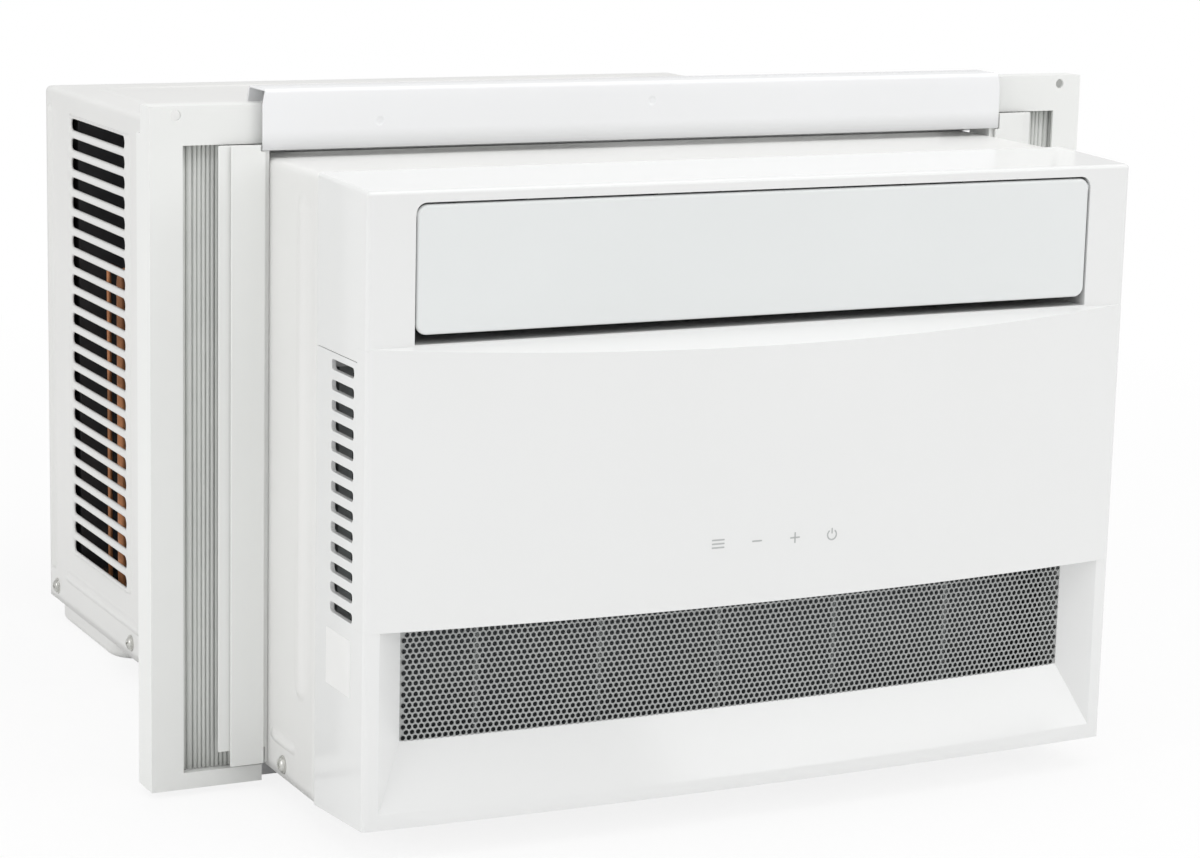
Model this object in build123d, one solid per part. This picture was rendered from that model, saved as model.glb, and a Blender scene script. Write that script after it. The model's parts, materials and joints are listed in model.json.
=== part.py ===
"""Window air conditioner, built as separate pieces in millimetres.

X runs along the width, the front (room side) faces -Y, +Z is up.  Working coordinates
have Y = 0 on the front plane of the upper frame and Z = 0 at its lower front corner;
save() moves every piece so the origin is the middle of the footprint at the lowest point.
"""

import math
import os

from build123d import *

os.makedirs("parts", exist_ok=True)

# ---- driving dimensions ---------------------------------------------------------------
WIDTH = 484.0            # bezel width
HALF = WIDTH / 2
WALL = 2.5               # bezel moulding thickness
BEZEL_REAR = 71.0        # bezel depth, where the steel cabinet begins
BEZEL_TOP = 350.4
CAB_HALF = HALF - 1.5    # steel cabinet half width
CAB_TOP = 351.4
CAB_LOW = -5.2
CAB_REAR = 580.0
SHEET = 0.9
SUMP_LOW = -19.0
PANEL_LOW, PANEL_BOW = 111.5, 16.2
FRAME_BOW = 8.8
CORNER = 13.0            # depth of the cover's side returns
EDGE = 2.6               # radius of the bezel's outer edges
DUCT_LOW, DUCT_TOP = 267.9, 344.1
OPENING_ROUND = 6.5      # upper corners of the discharge opening
DUCT_HALF = HALF - 27.5
FAN_Z = 150.0            # motor axis height
RUN_CLEAR = 0.1          # radial clearance of turning pins
BODY_CLEAR = 0.3         # clearance between pieces that move apart
FRONT = -PANEL_BOW
MID_Y = (FRONT + CAB_REAR) / 2


def save(node, shape):
    export_step(Pos(0, -MID_Y, -SUMP_LOW) * shape, f"parts/{node}.step")


def box(x0, x1, y0, y1, z0, z1):
    return Pos((x0 + x1) / 2, (y0 + y1) / 2, (z0 + z1) / 2) * Box(x1 - x0, y1 - y0, z1 - z0)


def prism(points, vector):
    """Polygon of 3-D points swept along a vector."""
    wire = Wire.make_polygon([Vector(*p) for p in points], close=True)
    return Part(Solid.extrude(Face(wire), Vector(*vector)).wrapped)


def prism_x(points, x0, x1):
    return prism([(x0, y, z) for y, z in points], (x1 - x0, 0, 0))


def prism_y(points, y0, y1):
    return prism([(x, y0, z) for x, z in points], (0, y1 - y0, 0))


def prism_z(points, z0, z1):
    return prism([(x, y, z0) for x, y in points], (0, 0, z1 - z0))


def rod_x(y, z, r, x0, x1):
    return Pos((x0 + x1) / 2, y, z) * Rot(0, 90, 0) * Cylinder(r, x1 - x0)


def rod_y(x, z, r, y0, y1):
    return Pos(x, (y0 + y1) / 2, z) * Rot(90, 0, 0) * Cylinder(r, y1 - y0)


def rod_z(x, y, r, z0, z1):
    return Pos(x, y, (z0 + z1) / 2) * Cylinder(r, z1 - z0)


def pipe(points, radius, bend):
    """Round tube filled solid along a rounded polyline."""
    path = FilletPolyline(*points, radius=bend)
    return sweep(Plane(path @ 0, z_dir=path % 0) * Circle(radius), path=path)


def side_slots(x0, x1, y, zs, width, height, corner):
    """Rounded slots cut through a side wall."""
    shapes = Sketch() + [Pos(y, z) * RectangleRounded(width, height, corner) for z in zs]
    return extrude(Plane.YZ.offset(x0) * shapes, amount=x1 - x0)


def bowed_plan(half, bow, front, rear, corner, z0, z1):
    """Block whose front face is an arc bulging towards the room."""
    arc = Edge.make_three_point_arc((-half, front, z0), (0, front - bow, z0), (half, front, z0))
    wire = Wire([arc, Edge.make_line((half, front, z0), (half, rear, z0)),
                 Edge.make_line((half, rear, z0), (-half, rear, z0)),
                 Edge.make_line((-half, rear, z0), (-half, front, z0))])
    body = Part(Solid.extrude(Face(wire), Vector(0, 0, z1 - z0)).wrapped)
    if corner:
        edges = [e for e in body.edges().filter_by(Axis.Z) if e.center().Y < front + 1]
        body = fillet(edges, corner)
    return body


# ---- bezel: upper frame with the discharge duct ----------------------------------------
side_profile = [(0, 265.9), (0, BEZEL_TOP), (BEZEL_REAR, 352.8), (BEZEL_REAR, 258.2),
                (CORNER, 258.2), (CORNER, 265.9)]
upper = prism_x(side_profile, -HALF, HALF)
upper = fillet([e for e in upper.edges().filter_by(Axis.Z) if e.center().Y < 1], EDGE)
top_front = [e for e in upper.edges() if abs(e.center().Y) < 0.01 and e.center().Z > 350]
upper = fillet(top_front, EDGE - 0.4)
hollow = prism_x([(WALL, 200), (WALL, BEZEL_TOP - WALL), (BEZEL_REAR + 1, 350.3),
                  (BEZEL_REAR + 1, 200)], -HALF + WALL, HALF - WALL)
upper = upper - hollow
duct_out = box(-DUCT_HALF - 2, DUCT_HALF + 2, 0, 66, DUCT_LOW - 2, DUCT_TOP + 2)
duct_in = box(-DUCT_HALF, DUCT_HALF, -1, 67, DUCT_LOW, DUCT_TOP)
duct_in = fillet([e for e in duct_in.edges().filter_by(Axis.Y) if e.center().Z > DUCT_LOW + 1],
                 OPENING_ROUND)
upper = upper + duct_out - duct_in
# flap hinge and vane pivots
FLAP_Y, FLAP_Z, PIN_R = 4.0, 338.0, 2.4
VANE_Y, VANE_R = 38.0, 2.0
VANES = 10
VANE_GAP = (DUCT_HALF - 14.5) / 5
VANE_X = [VANE_GAP * (i - (VANES - 1) / 2) for i in range(VANES)]
upper -= rod_x(FLAP_Y, FLAP_Z, PIN_R + RUN_CLEAR, -DUCT_HALF - 6, DUCT_HALF + 6)
for vx in VANE_X:
    upper -= rod_z(vx, VANE_Y, VANE_R + RUN_CLEAR, DUCT_LOW - 3, DUCT_TOP + 3)
# ribs that carry the duct inside the shell
for rx in (-HALF + 10, HALF - 12.5):
    upper += box(rx, rx + 2.5, WALL, 60, 330, 348.2)
upper += box(-HALF + 1, -DUCT_HALF - 1, 40, 42, 300, 346)
upper += box(DUCT_HALF + 1, HALF - 1, 40, 42, 300, 346)
save("upper_front_frame", upper)

# ---- bezel: lower grille moulding ------------------------------------------------------
lower = bowed_plan(HALF, FRAME_BOW, 0, BEZEL_REAR, EDGE, -6, 258.2)
inner = bowed_plan(HALF - WALL, FRAME_BOW, WALL, BEZEL_REAR + 1, 0, WALL, 259)
lower -= inner
lower -= prism_x([(-20, -8), (-20, 1.5), (0, 0), (BEZEL_REAR + 1, -5.37), (BEZEL_REAR + 1, -8)],
                 -HALF - 1, HALF + 1)
lower -= prism_x([(WALL, WALL + 0.1), (BEZEL_REAR + 1, WALL + 0.1), (BEZEL_REAR + 1, -2.8), (20, -1)],
                 -HALF + WALL, HALF - WALL)
lower -= box(-HALF - 1, HALF + 1, -20, CORNER, PANEL_LOW, 260)
WINDOW = HALF - 9        # half width of the intake recess at the front
lower -= box(-WINDOW, WINDOW, -20, 3, 9, PANEL_LOW + 1)
R0 = (HALF ** 2 + FRAME_BOW ** 2) / (2 * FRAME_BOW)
MESH_Y = 13.8            # mesh front face behind the bowed front surface
bevel = [(-FRAME_BOW, 9), (MESH_Y - FRAME_BOW, 45.7), (MESH_Y - FRAME_BOW, 39),
         (2.6 - FRAME_BOW, 6), (-FRAME_BOW, 5)]
axis = Axis((0, R0 - FRAME_BOW, 0), (0, 0, 1))
half_angle = math.degrees(math.asin((WINDOW + 1.5) / R0))
sill = Face(Wire.make_polygon([Vector(0, y, z) for y, z in bevel], close=True))
sill = revolve(sill, axis, 2 * half_angle)
sill = Pos(0, R0 - FRAME_BOW, 0) * Rot(0, 0, -half_angle) * Pos(0, FRAME_BOW - R0, 0) * sill
lower += sill
for s in (-1, 1):
    cheek = [(s * WINDOW, -0.64), (s * (WINDOW - 17.4), MESH_Y - 1.85), (s * (WINDOW - 13), MESH_Y - 1.85),
             (s * (WINDOW + 2), 2.4), (s * (WINDOW + 2), -0.5)]
    lower += prism_z(cheek, 6, PANEL_LOW)
# air filter guides and side vents
FILT_Y0, FILT_Y1 = 53.0, 58.0
lower += box(-HALF + WALL, HALF - WALL, FILT_Y0 - 2.5, FILT_Y1 + 2.5, 10.5, 13.0)
lower += box(-HALF + WALL, HALF - WALL, FILT_Y0 - 2.5, FILT_Y0 - BODY_CLEAR, 12.5, 17)
lower += box(-HALF + WALL, HALF - WALL, FILT_Y1 + BODY_CLEAR, FILT_Y1 + 2.5, 12.5, 17)
lower += box(-HALF + WALL, HALF - WALL, FILT_Y0 - 2.5, FILT_Y1 + 2.5, 253.0, 255.5)
lower += box(-HALF + WALL, HALF - WALL, FILT_Y0 - 2.5, FILT_Y0 - BODY_CLEAR, 249, 253.5)
lower += box(-HALF + WALL, HALF - WALL, FILT_Y1 + BODY_CLEAR, FILT_Y1 + 2.5, 249, 253.5)
for gx in (-HALF + WALL, -120, 0, 120, HALF - WALL - 2):
    lower += box(gx, gx + 2, FILT_Y0 - 2.5, FILT_Y1 + 2.5, WALL - 5, 10.6)
VENT_Z = [251.2 - 11.27 * i for i in range(13)]
lower -= side_slots(-HALF - 1, -HALF + WALL + 0.2, 33, VENT_Z, 32, 5.9, 2.2)
lower -= side_slots(HALF - WALL - 0.2, HALF + 1, 33, VENT_Z, 32, 5.9, 2.2)
FILT_SLOT = (FILT_Y0 - BODY_CLEAR, FILT_Y1 + BODY_CLEAR, 13.0, 253.0)
lower -= box(HALF - WALL - 1, HALF + 1, *FILT_SLOT)
CORD = (HALF - 37, 34.0)
lower -= rod_z(CORD[0], CORD[1], 6, -8, 4)
save("lower_front_grille", lower)
low_z = -5.37 * CORD[1] / (BEZEL_REAR + 1)
bush = rod_z(CORD[0], CORD[1], 6, low_z - 2.6, 5) + rod_z(CORD[0], CORD[1], 8.5, low_z - 2.8, low_z - 0.7)
bush += rod_z(CORD[0], CORD[1], 7.5, 3.0, 5) - rod_z(CORD[0], CORD[1], 6, 2, 6)
save("cord_inlet", bush - rod_z(CORD[0], CORD[1], 3.8, -10, 10))

# ---- bezel: glossy bowed cover with the sloping shelf ------------------------------------
SHELF = 0.506
cover = bowed_plan(HALF, PANEL_BOW, 0, CORNER, EDGE, PANEL_LOW, 272)
core = bowed_plan(HALF - WALL, PANEL_BOW, WALL, CORNER + 5, 0, PANEL_LOW + 2.5, 275)
above = [(-30, 267 - 30 * SHELF), (0, 267), (0, 265.9), (30, 265.9), (30, 290), (-30, 290)]
under = [(-30, 264.4 - 30 * SHELF), (0, 264.4), (0, 263.4), (30, 263.4), (30, 290), (-30, 290)]
cover = cover - prism_x(above, -HALF - 1, HALF + 1)
core = core - prism_x(under, -HALF - 1, HALF + 1)
cover = cover - core
cover -= box(-HALF + 32, HALF - 32, 4.5, 20, PANEL_LOW - 1, PANEL_LOW + 4)
BOARD = (48, 168, 166, 204)
for bx in (BOARD[0] + 4, BOARD[1] - 4):
    for bz in (BOARD[2] + 4, BOARD[3] - 4):
        cover += rod_y(bx, bz, 3, -PANEL_BOW * (1 - (bx / HALF) ** 2) + 1, -3)
save("control_panel_cover", cover)
board = box(BOARD[0], BOARD[1], -3, -1.4, BOARD[2], BOARD[3])
for kx in (57, 81, 105, 129, 153):
    board += rod_y(kx, 185, 5, -5.5, -2.5)
board += box(96, 120, -1.6, 2, 170, 178)
save("touch_board", board)

# ---- intake mesh, facets following the bow ----------------------------------------------
MESH_HALF, MESH_LOW, MESH_TOP = WINDOW - 15, 43.4, PANEL_LOW
ROW, HOLE_R = 6.1, 2.3
FACETS, HOLES_PER_FACET = 8, 8
R_MESH = R0 - MESH_Y
CY = R0 - FRAME_BOW
angles = [math.asin(MESH_HALF / R_MESH) * (2 * i / FACETS - 1) for i in range(FACETS + 1)]
mesh = None
column = 0
for a, b in zip(angles, angles[1:]):
    pa = (R_MESH * math.sin(a), CY - R_MESH * math.cos(a))
    pb = (R_MESH * math.sin(b), CY - R_MESH * math.cos(b))
    length = math.hypot(pb[0] - pa[0], pb[1] - pa[1])
    turn = math.degrees(math.atan2(pb[1] - pa[1], pb[0] - pa[0]))
    plate = Face(Wire.make_polygon([Vector(0, 0, MESH_LOW), Vector(length, 0, MESH_LOW),
                                    Vector(length, 0, MESH_TOP), Vector(0, 0, MESH_TOP)], close=True))
    holes = []
    for r in range(int((MESH_TOP - MESH_LOW - 6) / ROW)):
        z = MESH_LOW + 5.2 + r * ROW
        pitch = length / HOLES_PER_FACET
        for i in range(HOLES_PER_FACET - r % 2):
            plane = Plane((pitch * (i + 0.5 + 0.5 * (r % 2)), 0, z), x_dir=(1, 0, 0), z_dir=(0, -1, 0))
            holes.append(Wire.make_circle(HOLE_R, plane))
    plate = plate.make_holes(holes)
    leaf = Part(Solid.extrude(plate, Vector(0, 0.8, 0)).wrapped)
    leaf = Pos(pa[0], pa[1], 0) * Rot(0, 0, turn) * leaf
    mesh = leaf if mesh is None else mesh + leaf
save("intake_mesh", mesh)

# ---- discharge flap, vanes and their tie bars -------------------------------------------
FLAP_HALF = DUCT_HALF - 1.1
FLAP_LOW, FLAP_TOP, FLAP_WALL = 273.0, DUCT_TOP - 1.2, 2.5
plate = extrude(RectangleRounded(2 * FLAP_HALF, FLAP_TOP - FLAP_LOW, 6), amount=FLAP_WALL)
plate = fillet(plate.faces().sort_by(Axis.Z)[-1].edges(), 1.6)
flap = Pos(0, FLAP_WALL, (FLAP_LOW + FLAP_TOP) / 2) * Rot(90, 0, 0) * plate
for rx in (-140, -70, 0, 70, 140):
    flap += prism_x([(2.4, 278), (2.4, 340), (4.5, 338), (4.5, 281)], rx - 1, rx + 1)
flap += prism_x([(2.4, 279), (2.4, 281), (4.0, 281), (4.0, 279)], 8.4 - FLAP_HALF, FLAP_HALF - 8.4)
# hinge ears welded to the back of the plate, each with its pin
EAR = [(FLAP_WALL, 331), (FLAP_WALL, 341), (6, 341), (8, 338), (6, 331)]
hinges = []
for s in (-1, 1):
    x0, x1 = sorted((s * (FLAP_HALF - 6.2), s * (FLAP_HALF - 2.0)))
    ear = prism_x(EAR, x0, x1)
    x0, x1 = sorted((s * (FLAP_HALF - 2.2), s * (DUCT_HALF + 4.1)))
    hinges.append(ear + rod_x(FLAP_Y, FLAP_Z, PIN_R, x0, x1) - flap)
save("discharge_flap", Compound(children=[flap, *hinges]))

CRANK, CRANK_PIN, SWING = 14.0, 1.3, 30.0
PIN_CLEAR = 0.45         # all round the crank pins in their slots
PIN_DRIFT = CRANK * (1 - math.cos(math.radians(SWING)))
for i, vx in enumerate(VANE_X):
    outline = [(VANE_Y - 17, 272), (VANE_Y - 15, 270.5), (VANE_Y + 8, 270.5), (VANE_Y + 8, 277.5),
               (VANE_Y + 18, 277.5), (VANE_Y + 18, 341), (VANE_Y + 16, 342.5), (VANE_Y - 13, 342.5),
               (VANE_Y - 17, 338)]
    vane = prism_x(outline, vx - 1, vx + 1)
    vane += rod_z(vx, VANE_Y, 3.2, 270.0, 343.0)
    vane += rod_z(vx, VANE_Y, VANE_R, DUCT_LOW - 2, DUCT_TOP + 2)
    vane += rod_z(vx, VANE_Y + CRANK, CRANK_PIN, 270.6, 278)
    save(f"air_vane_{i + 1:02d}", vane)
for name, xs in (("vane_link_left", VANE_X[:5]), ("vane_link_right", VANE_X[5:])):
    slot_y0 = VANE_Y + CRANK - PIN_DRIFT - CRANK_PIN - PIN_CLEAR
    slot_y1 = VANE_Y + CRANK + CRANK_PIN + PIN_CLEAR
    link = box(xs[0] - 6, xs[-1] + 6, slot_y0 - 1.2, slot_y1 + 1.2, 271.2, 274.2)
    for vx in xs:
        slot_half = CRANK_PIN + PIN_CLEAR
        link -= box(vx - slot_half, vx + slot_half, slot_y0, slot_y1, 271, 275)
    save(name, link)

# ---- air filter ---------------------------------------------------------------------------
FX0, FX1, FZ0, FZ1 = 6 - HALF, HALF - 0.2, 13.3, 252.7
frame = box(FX0, FX1, FILT_Y0, FILT_Y1, FZ0, FZ1)
cells = 6
cell_w = (FX1 - 4 - FX0 - 8 - (cells - 1) * 3) / cells
for i in range(cells):
    x0 = FX0 + 8 + i * (cell_w + 3)
    for z0, z1 in ((FZ0 + 8, 131.5), (134.5, FZ1 - 8)):
        frame -= box(x0, x0 + cell_w - (6 if i == cells - 1 else 0), FILT_Y0 - 1, FILT_Y1 + 1, z0, z1)
frame -= box(FX0 + 6, FX1 - 11, FILT_Y0 + 1.2, FILT_Y0 + 2.2, FZ0 + 6, FZ1 - 6)
save("filter_frame", frame)
net = box(FX0 + 6, FX1 - 11, FILT_Y0 + 1.2, FILT_Y0 + 2.2, FZ0 + 6, FZ1 - 6)
save("filter_net", net)

# ---- steel base pan and cabinet ------------------------------------------------------------
PX = CAB_HALF - SHEET
pan = box(-PX, PX, 72, 579, -6, 18) - box(-PX + 1, PX - 1, 73, 578, -5, 19)
SUMP_HALF, SUMP_Y0, SUMP_Y1 = CAB_HALF - 2.5, 438, 574
sump = box(-SUMP_HALF, SUMP_HALF, SUMP_Y0, SUMP_Y1, SUMP_LOW, -5.5)
sump = fillet(sump.edges().filter_by(Axis.Z), 22)
sump = fillet([e for e in sump.edges() if abs(e.center().Z - SUMP_LOW) < 0.01], 5)
void = box(1 - SUMP_HALF, SUMP_HALF - 1, SUMP_Y0 + 1, SUMP_Y1 - 1, SUMP_LOW + 1, 0)
void = fillet(void.edges().filter_by(Axis.Z), 21)
void = fillet([e for e in void.edges() if abs(e.center().Z - SUMP_LOW - 1) < 0.01], 4)
pan = pan + sump - void
# raised rests under the condenser and the shroud
for rx in (-200, -70, 70, 200):
    pan += box(rx - 10, rx + 10, 552, 568, SUMP_LOW + 0.5, -5)
for rx in (10.5 - CAB_HALF, CAB_HALF - 10.5):
    pan += box(rx - 5, rx + 5, 516, 526, SUMP_LOW + 0.5, -5)
SCREW_YZ = [(123.9, 2.6), (401.7, 4.2), (563.0, 4.4)]
DRAIN = (-150.0, 420.0)
pan -= rod_z(DRAIN[0], DRAIN[1], 6, -7, -4)
COMP = (150.0, 335.0)
FEET = [(COMP[0] + 72 * math.cos(math.radians(t)), COMP[1] + 72 * math.sin(math.radians(t)))
        for t in (30, 150, 270)]
for fx, fy in FEET:
    pan += rod_z(fx, fy, 3, -5.2, 38)
RAIL_SCREW_X = (-170, 0, 170)
for rx in RAIL_SCREW_X:
    pan -= rod_z(rx, 181, 2.1, -7, -4)
for y, z in SCREW_YZ:
    pan -= rod_x(y, z, 2.1, -PX - 1, -PX + 2)
    pan -= rod_x(y, z, 2.1, PX - 2, PX + 1)
save("base_pan", pan)

outer = prism_y([(-CAB_HALF, CAB_LOW), (CAB_HALF, CAB_LOW), (CAB_HALF, CAB_TOP), (-CAB_HALF, CAB_TOP)],
                BEZEL_REAR, CAB_REAR)
outer = fillet([e for e in outer.edges().filter_by(Axis.Y) if e.center().Z > 300], 4)
inside = prism_y([(-PX, CAB_LOW - 1), (PX, CAB_LOW - 1), (PX, CAB_TOP - SHEET), (-PX, CAB_TOP - SHEET)],
                 BEZEL_REAR - 1, CAB_REAR - SHEET)
inside = fillet([e for e in inside.edges().filter_by(Axis.Y) if e.center().Z > 300], 3.1)
cab = outer - inside - box(11.5 - CAB_HALF, CAB_HALF - 11.5, 575, 585, CAB_LOW - 1, 340)
LOUVRE_Z = [331.3 - 13.09 * i for i in range(23)]
cab -= side_slots(-CAB_HALF - 3, -PX + 1, 464, LOUVRE_Z, 116, 7.65, 3)
cab -= side_slots(PX - 1, CAB_HALF + 3, 464, LOUVRE_Z, 116, 7.65, 3)
for s in (-1, 1):
    for y0, y1, z0, z1 in ((90, 103, 49, 336), (105, 142, 13, 21), (176, 540, 13, 21), (566, 571, 16, 340)):
        x0, x1 = sorted((s * (CAB_HALF - 0.2), s * (CAB_HALF + 1.0)))
        rib = box(x0, x1, y0, y1, z0, z1)
        face = rib.faces().sort_by(Axis.X)[0 if s < 0 else -1]
        cab += chamfer(face.edges(), 0.9)
RIB = CAB_HALF - 26.5    # the border pressed round the top
for x0, x1, y0, y1 in ((-RIB, RIB, 196, 204), (-RIB, RIB, 548, 556), (-RIB, 8 - RIB, 196, 556),
                       (RIB - 8, RIB, 196, 556)):
    cab += box(x0, x1, y0, y1, CAB_TOP - 0.2, CAB_TOP + 0.8)
for y, z in SCREW_YZ:
    cab -= rod_x(y, z, 2.3, -CAB_HALF - 2, -PX + 1)
    cab -= rod_x(y, z, 2.3, PX - 1, CAB_HALF + 2)
for rx in RAIL_SCREW_X:
    cab -= rod_z(rx, 182, 2.1, CAB_TOP - 3, CAB_TOP + 1)
KEEP_Z = (40, 180, 320)
for kz in KEEP_Z:
    cab -= rod_x(159.5, kz, 2.1, -CAB_HALF - 1, -PX + 1)
    cab -= rod_x(159.5, kz, 2.1, PX - 1, CAB_HALF + 1)
save("cabinet", cab)

screws = None
for y, z in SCREW_YZ:
    for s in (-1, 1):
        a, b = sorted((s * CAB_HALF, s * (CAB_HALF + 3.4)))
        head = rod_x(y, z, 5.5, a, b)
        head = fillet([e for e in head.edges() if abs(abs(e.center().X) - CAB_HALF - 3.4) < 0.01], 2.2)
        a, b = sorted((s * (CAB_HALF - 4), s * (CAB_HALF + 1)))
        one = head + rod_x(y, z, 2.1, a, b)
        screws = one if screws is None else screws + one
save("cabinet_screws", screws)
plug = rod_z(DRAIN[0], DRAIN[1], 9, -8.5, -6) + rod_z(DRAIN[0], DRAIN[1], 6, -6.5, -3)
plug += rod_z(DRAIN[0], DRAIN[1], 7.5, -5, -3)
save("drain_plug", plug)

# ---- sash rails, curtain guides, curtains ------------------------------------------------
RAIL_HALF = CAB_HALF + 5
DIMPLE = 0.5             # depth of the two marks in the rail's front
rail_face = prism_x([(147, 356), (147, 388.3), (148.2, 387.9), (148.2, 356)], -RAIL_HALF, RAIL_HALF)
for hx, hz in ((-174.6, 371), (0, 378.7)):
    rail_face -= rod_y(hx, hz, 2.6, 146, 147 + DIMPLE)
rail_fold = prism_x([(147, 388.3), (149, 390.3), (149.4, 389.1), (148.2, 387.9)], -RAIL_HALF, RAIL_HALF)
rail_top = prism_x([(149, 390.3), (174, 390.3), (174, 389.1), (149.4, 389.1)], -RAIL_HALF, RAIL_HALF)
rail_back = box(-RAIL_HALF, RAIL_HALF, 172.8, 174, CAB_TOP + 1.2, 389.1) - box(-220, 220, 171, 175, 356, 378)
rail_foot = box(-RAIL_HALF, RAIL_HALF, 172.8, 192, CAB_TOP, CAB_TOP + 1.2)
for rx in RAIL_SCREW_X:
    rail_foot -= rod_z(rx, 182, 2.3, CAB_TOP - 1, CAB_TOP + 3)
# five convex strips that meet at the folds, so nothing fills the channel between them
top_rail = Compound(children=[rail_face, rail_fold, rail_top, rail_back, rail_foot])
save("top_rail", top_rail)
LOW_Y = 170.2            # face of the bottom rail, behind the curtains' lower bars
LOW_HALF = CAB_HALF - 1
low_rail = prism_x([(LOW_Y, -17.8), (188, -17.8), (188, -16.6), (LOW_Y + 1.2, -16.6), (LOW_Y + 1.2, -7.2),
                    (188, -7.2), (188, -6), (LOW_Y, -6)], -LOW_HALF, LOW_HALF)
for rx in RAIL_SCREW_X:
    low_rail -= rod_z(rx, 181, 2.1, -8, -5)
save("bottom_rail", low_rail)

KEEP_HALF = CAB_HALF
CURTAINS = (("left", -1, -15.1), ("right", 1, -9.1))   # side and lowest point of each curtain
FRAME_TALL, BAR_TALL = 396.6, 22.2
for side, s, low in CURTAINS:
    reach = low + FRAME_TALL - BAR_TALL - BODY_CLEAR       # up to the curtain's top bar
    def mx(a, b):
        return sorted((s * a, s * b))
    guide = box(*mx(KEEP_HALF, KEEP_HALF + 1.5), 149.5, 172, -3, reach)
    guide += box(*mx(KEEP_HALF + 6, KEEP_HALF + 23.5), 147, 148.5, -3, reach)
    guide += box(*mx(KEEP_HALF + 3.2, KEEP_HALF + 6.5), 147, 148.5, -3, 355.4)
    guide += box(*mx(KEEP_HALF + 10, KEEP_HALF + 12), 148, 150, 6, reach)
    guide += box(*mx(KEEP_HALF, KEEP_HALF + 21.5), 170.5, 172, -3, reach)
    guide += box(*mx(KEEP_HALF, KEEP_HALF + 30.3), 149.5, 150.7, 6, reach)
    for kz in KEEP_Z:
        guide -= rod_x(159.5, kz, 2.3, *mx(KEEP_HALF - 1, KEEP_HALF + 3))
    save("curtain_guide_" + side, guide)

small = None
for rx in RAIL_SCREW_X:
    one = rod_z(rx, 182, 4.2, CAB_TOP + 1.2, CAB_TOP + 3.4) + rod_z(rx, 182, 2.1, CAB_TOP - 2.2, CAB_TOP + 2)
    small = one if small is None else small + one
    small += rod_z(rx, 181, 4.2, -9.4, -7.2) + rod_z(rx, 181, 2.1, -8, -1)
for kz in KEEP_Z:
    for s in (-1, 1):
        a, b = sorted((s * (KEEP_HALF + 1.5), s * (KEEP_HALF + 3.4)))
        small += rod_x(159.5, kz, 4.2, a, b)
        a, b = sorted((s * (KEEP_HALF - 2.5), s * (KEEP_HALF + 2)))
        small += rod_x(159.5, kz, 2.1, a, b)
save("small_screws", small)

FRAME_X = KEEP_HALF + 69.5
BAR_X = FRAME_X - 19.4
for side, s, low in CURTAINS:
    def mx(a, b):
        return sorted((s * a, s * b))
    top = low + FRAME_TALL
    part = box(*mx(20, FRAME_X), 153, 169, top - BAR_TALL, top)
    part -= box(*mx(19, FRAME_X - 10), 155, 170, top - 20.2, top - 2)
    part += box(*mx(BAR_X, FRAME_X), 153, 176, low, top - 16.5)
    part -= box(*mx(BAR_X - 1.6, FRAME_X - 1.8), 154.8, 174.2, low + 9.8, top - 22.3)
    part += box(*mx(KEEP_HALF + 2.1, FRAME_X), 153, 169, low, low + 9.8)
    part -= box(*mx(KEEP_HALF + 4.1, FRAME_X - 10), 155, 170, low + 2, low + 7.8)
    part -= rod_y(s * (BAR_X + 3.9), top - 5.2, 2.9, 152, 156)
    save("curtain_frame_" + side, part)

PLEATS = 14
for side, s, low in CURTAINS:
    x0, x1 = KEEP_HALF + 1.5, FRAME_X - 1.8
    n = 2 * PLEATS
    fold = KEEP_HALF + 8.5
    span = (BAR_X - 2.1 - fold) / n
    pts = [(fold + span * i, 158.0 if i % 2 else 165.6) for i in range(n + 1)]
    th = 0.28
    fore = [(s * x, y - th * 2.7) for x, y in pts]
    aft = [(s * x, y) for x, y in pts]
    outline = [(s * x0, 164.8)] + fore + [(s * x1, 164.8), (s * x1, 165.6)] + aft[::-1] + [(s * x0, 165.6)]
    save("bellows_" + side, prism_z(outline, low + 10.2, low + 374.0))

# ---- indoor side: drip tray, evaporator, scroll housing ------------------------------------
EVX0, EVX1 = 18.5 - CAB_HALF, CAB_HALF - 68.5
TRAY_X0, TRAY_X1 = EVX0 - 6, EVX1 + 8
tray = box(TRAY_X0, TRAY_X1, 74, 122, -5, 16) - box(TRAY_X0 + 2, TRAY_X1 - 2, 76, 120, 9, 17)
tray -= box(TRAY_X0 + 8, TRAY_X1 - 8, 80, 116, -6, 7)
save("drip_tray", tray)


def fin_block(x0, x1, y0, y1, z0, z1, pitch, groove, gap):
    """Fin pack: one block with fine vertical grooves front and back."""
    n = int((x1 - x0 - gap) / pitch)
    front = [(x0, y0)]
    for i in range(n):
        a = x0 + pitch * (i + 1) - gap
        front += [(a, y0), (a, y0 + groove), (a + gap, y0 + groove), (a + gap, y0)]
    front.append((x1, y0))
    rear = [(x, y0 + y1 - y) for x, y in reversed(front)]
    return prism_z(front + rear, z0, z1)


def coil(x0, x1, rows, zs, r, join):
    """Straight tubes along X joined by return bends; the last bend joins the two rows."""
    tubes = None
    for y in rows:
        for i, z in enumerate(zs):
            t = rod_x(y, z, r, x0, x1)
            tubes = t if tubes is None else tubes + t
            if i + 1 < len(zs):
                x, side = (x1, 1) if i % 2 == 0 else (x0, -1)
                mid = (z + zs[i + 1]) / 2
                ring = Pos(x, y, mid) * Rot(90, 0, 0) * Torus((zs[i + 1] - z) / 2, r)
                cut = box(*sorted((x, x + side * 40)), y - 10, y + 10, z - 30, zs[i + 1] + 30)
                tubes += ring & cut
    x, z, side = join
    ring = Pos(x, sum(rows) / 2, z) * Torus((rows[1] - rows[0]) / 2, r)
    return tubes + (ring & box(*sorted((x, x + side * 40)), rows[0] - 10, rows[1] + 10, z - 10, z + 10))


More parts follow.
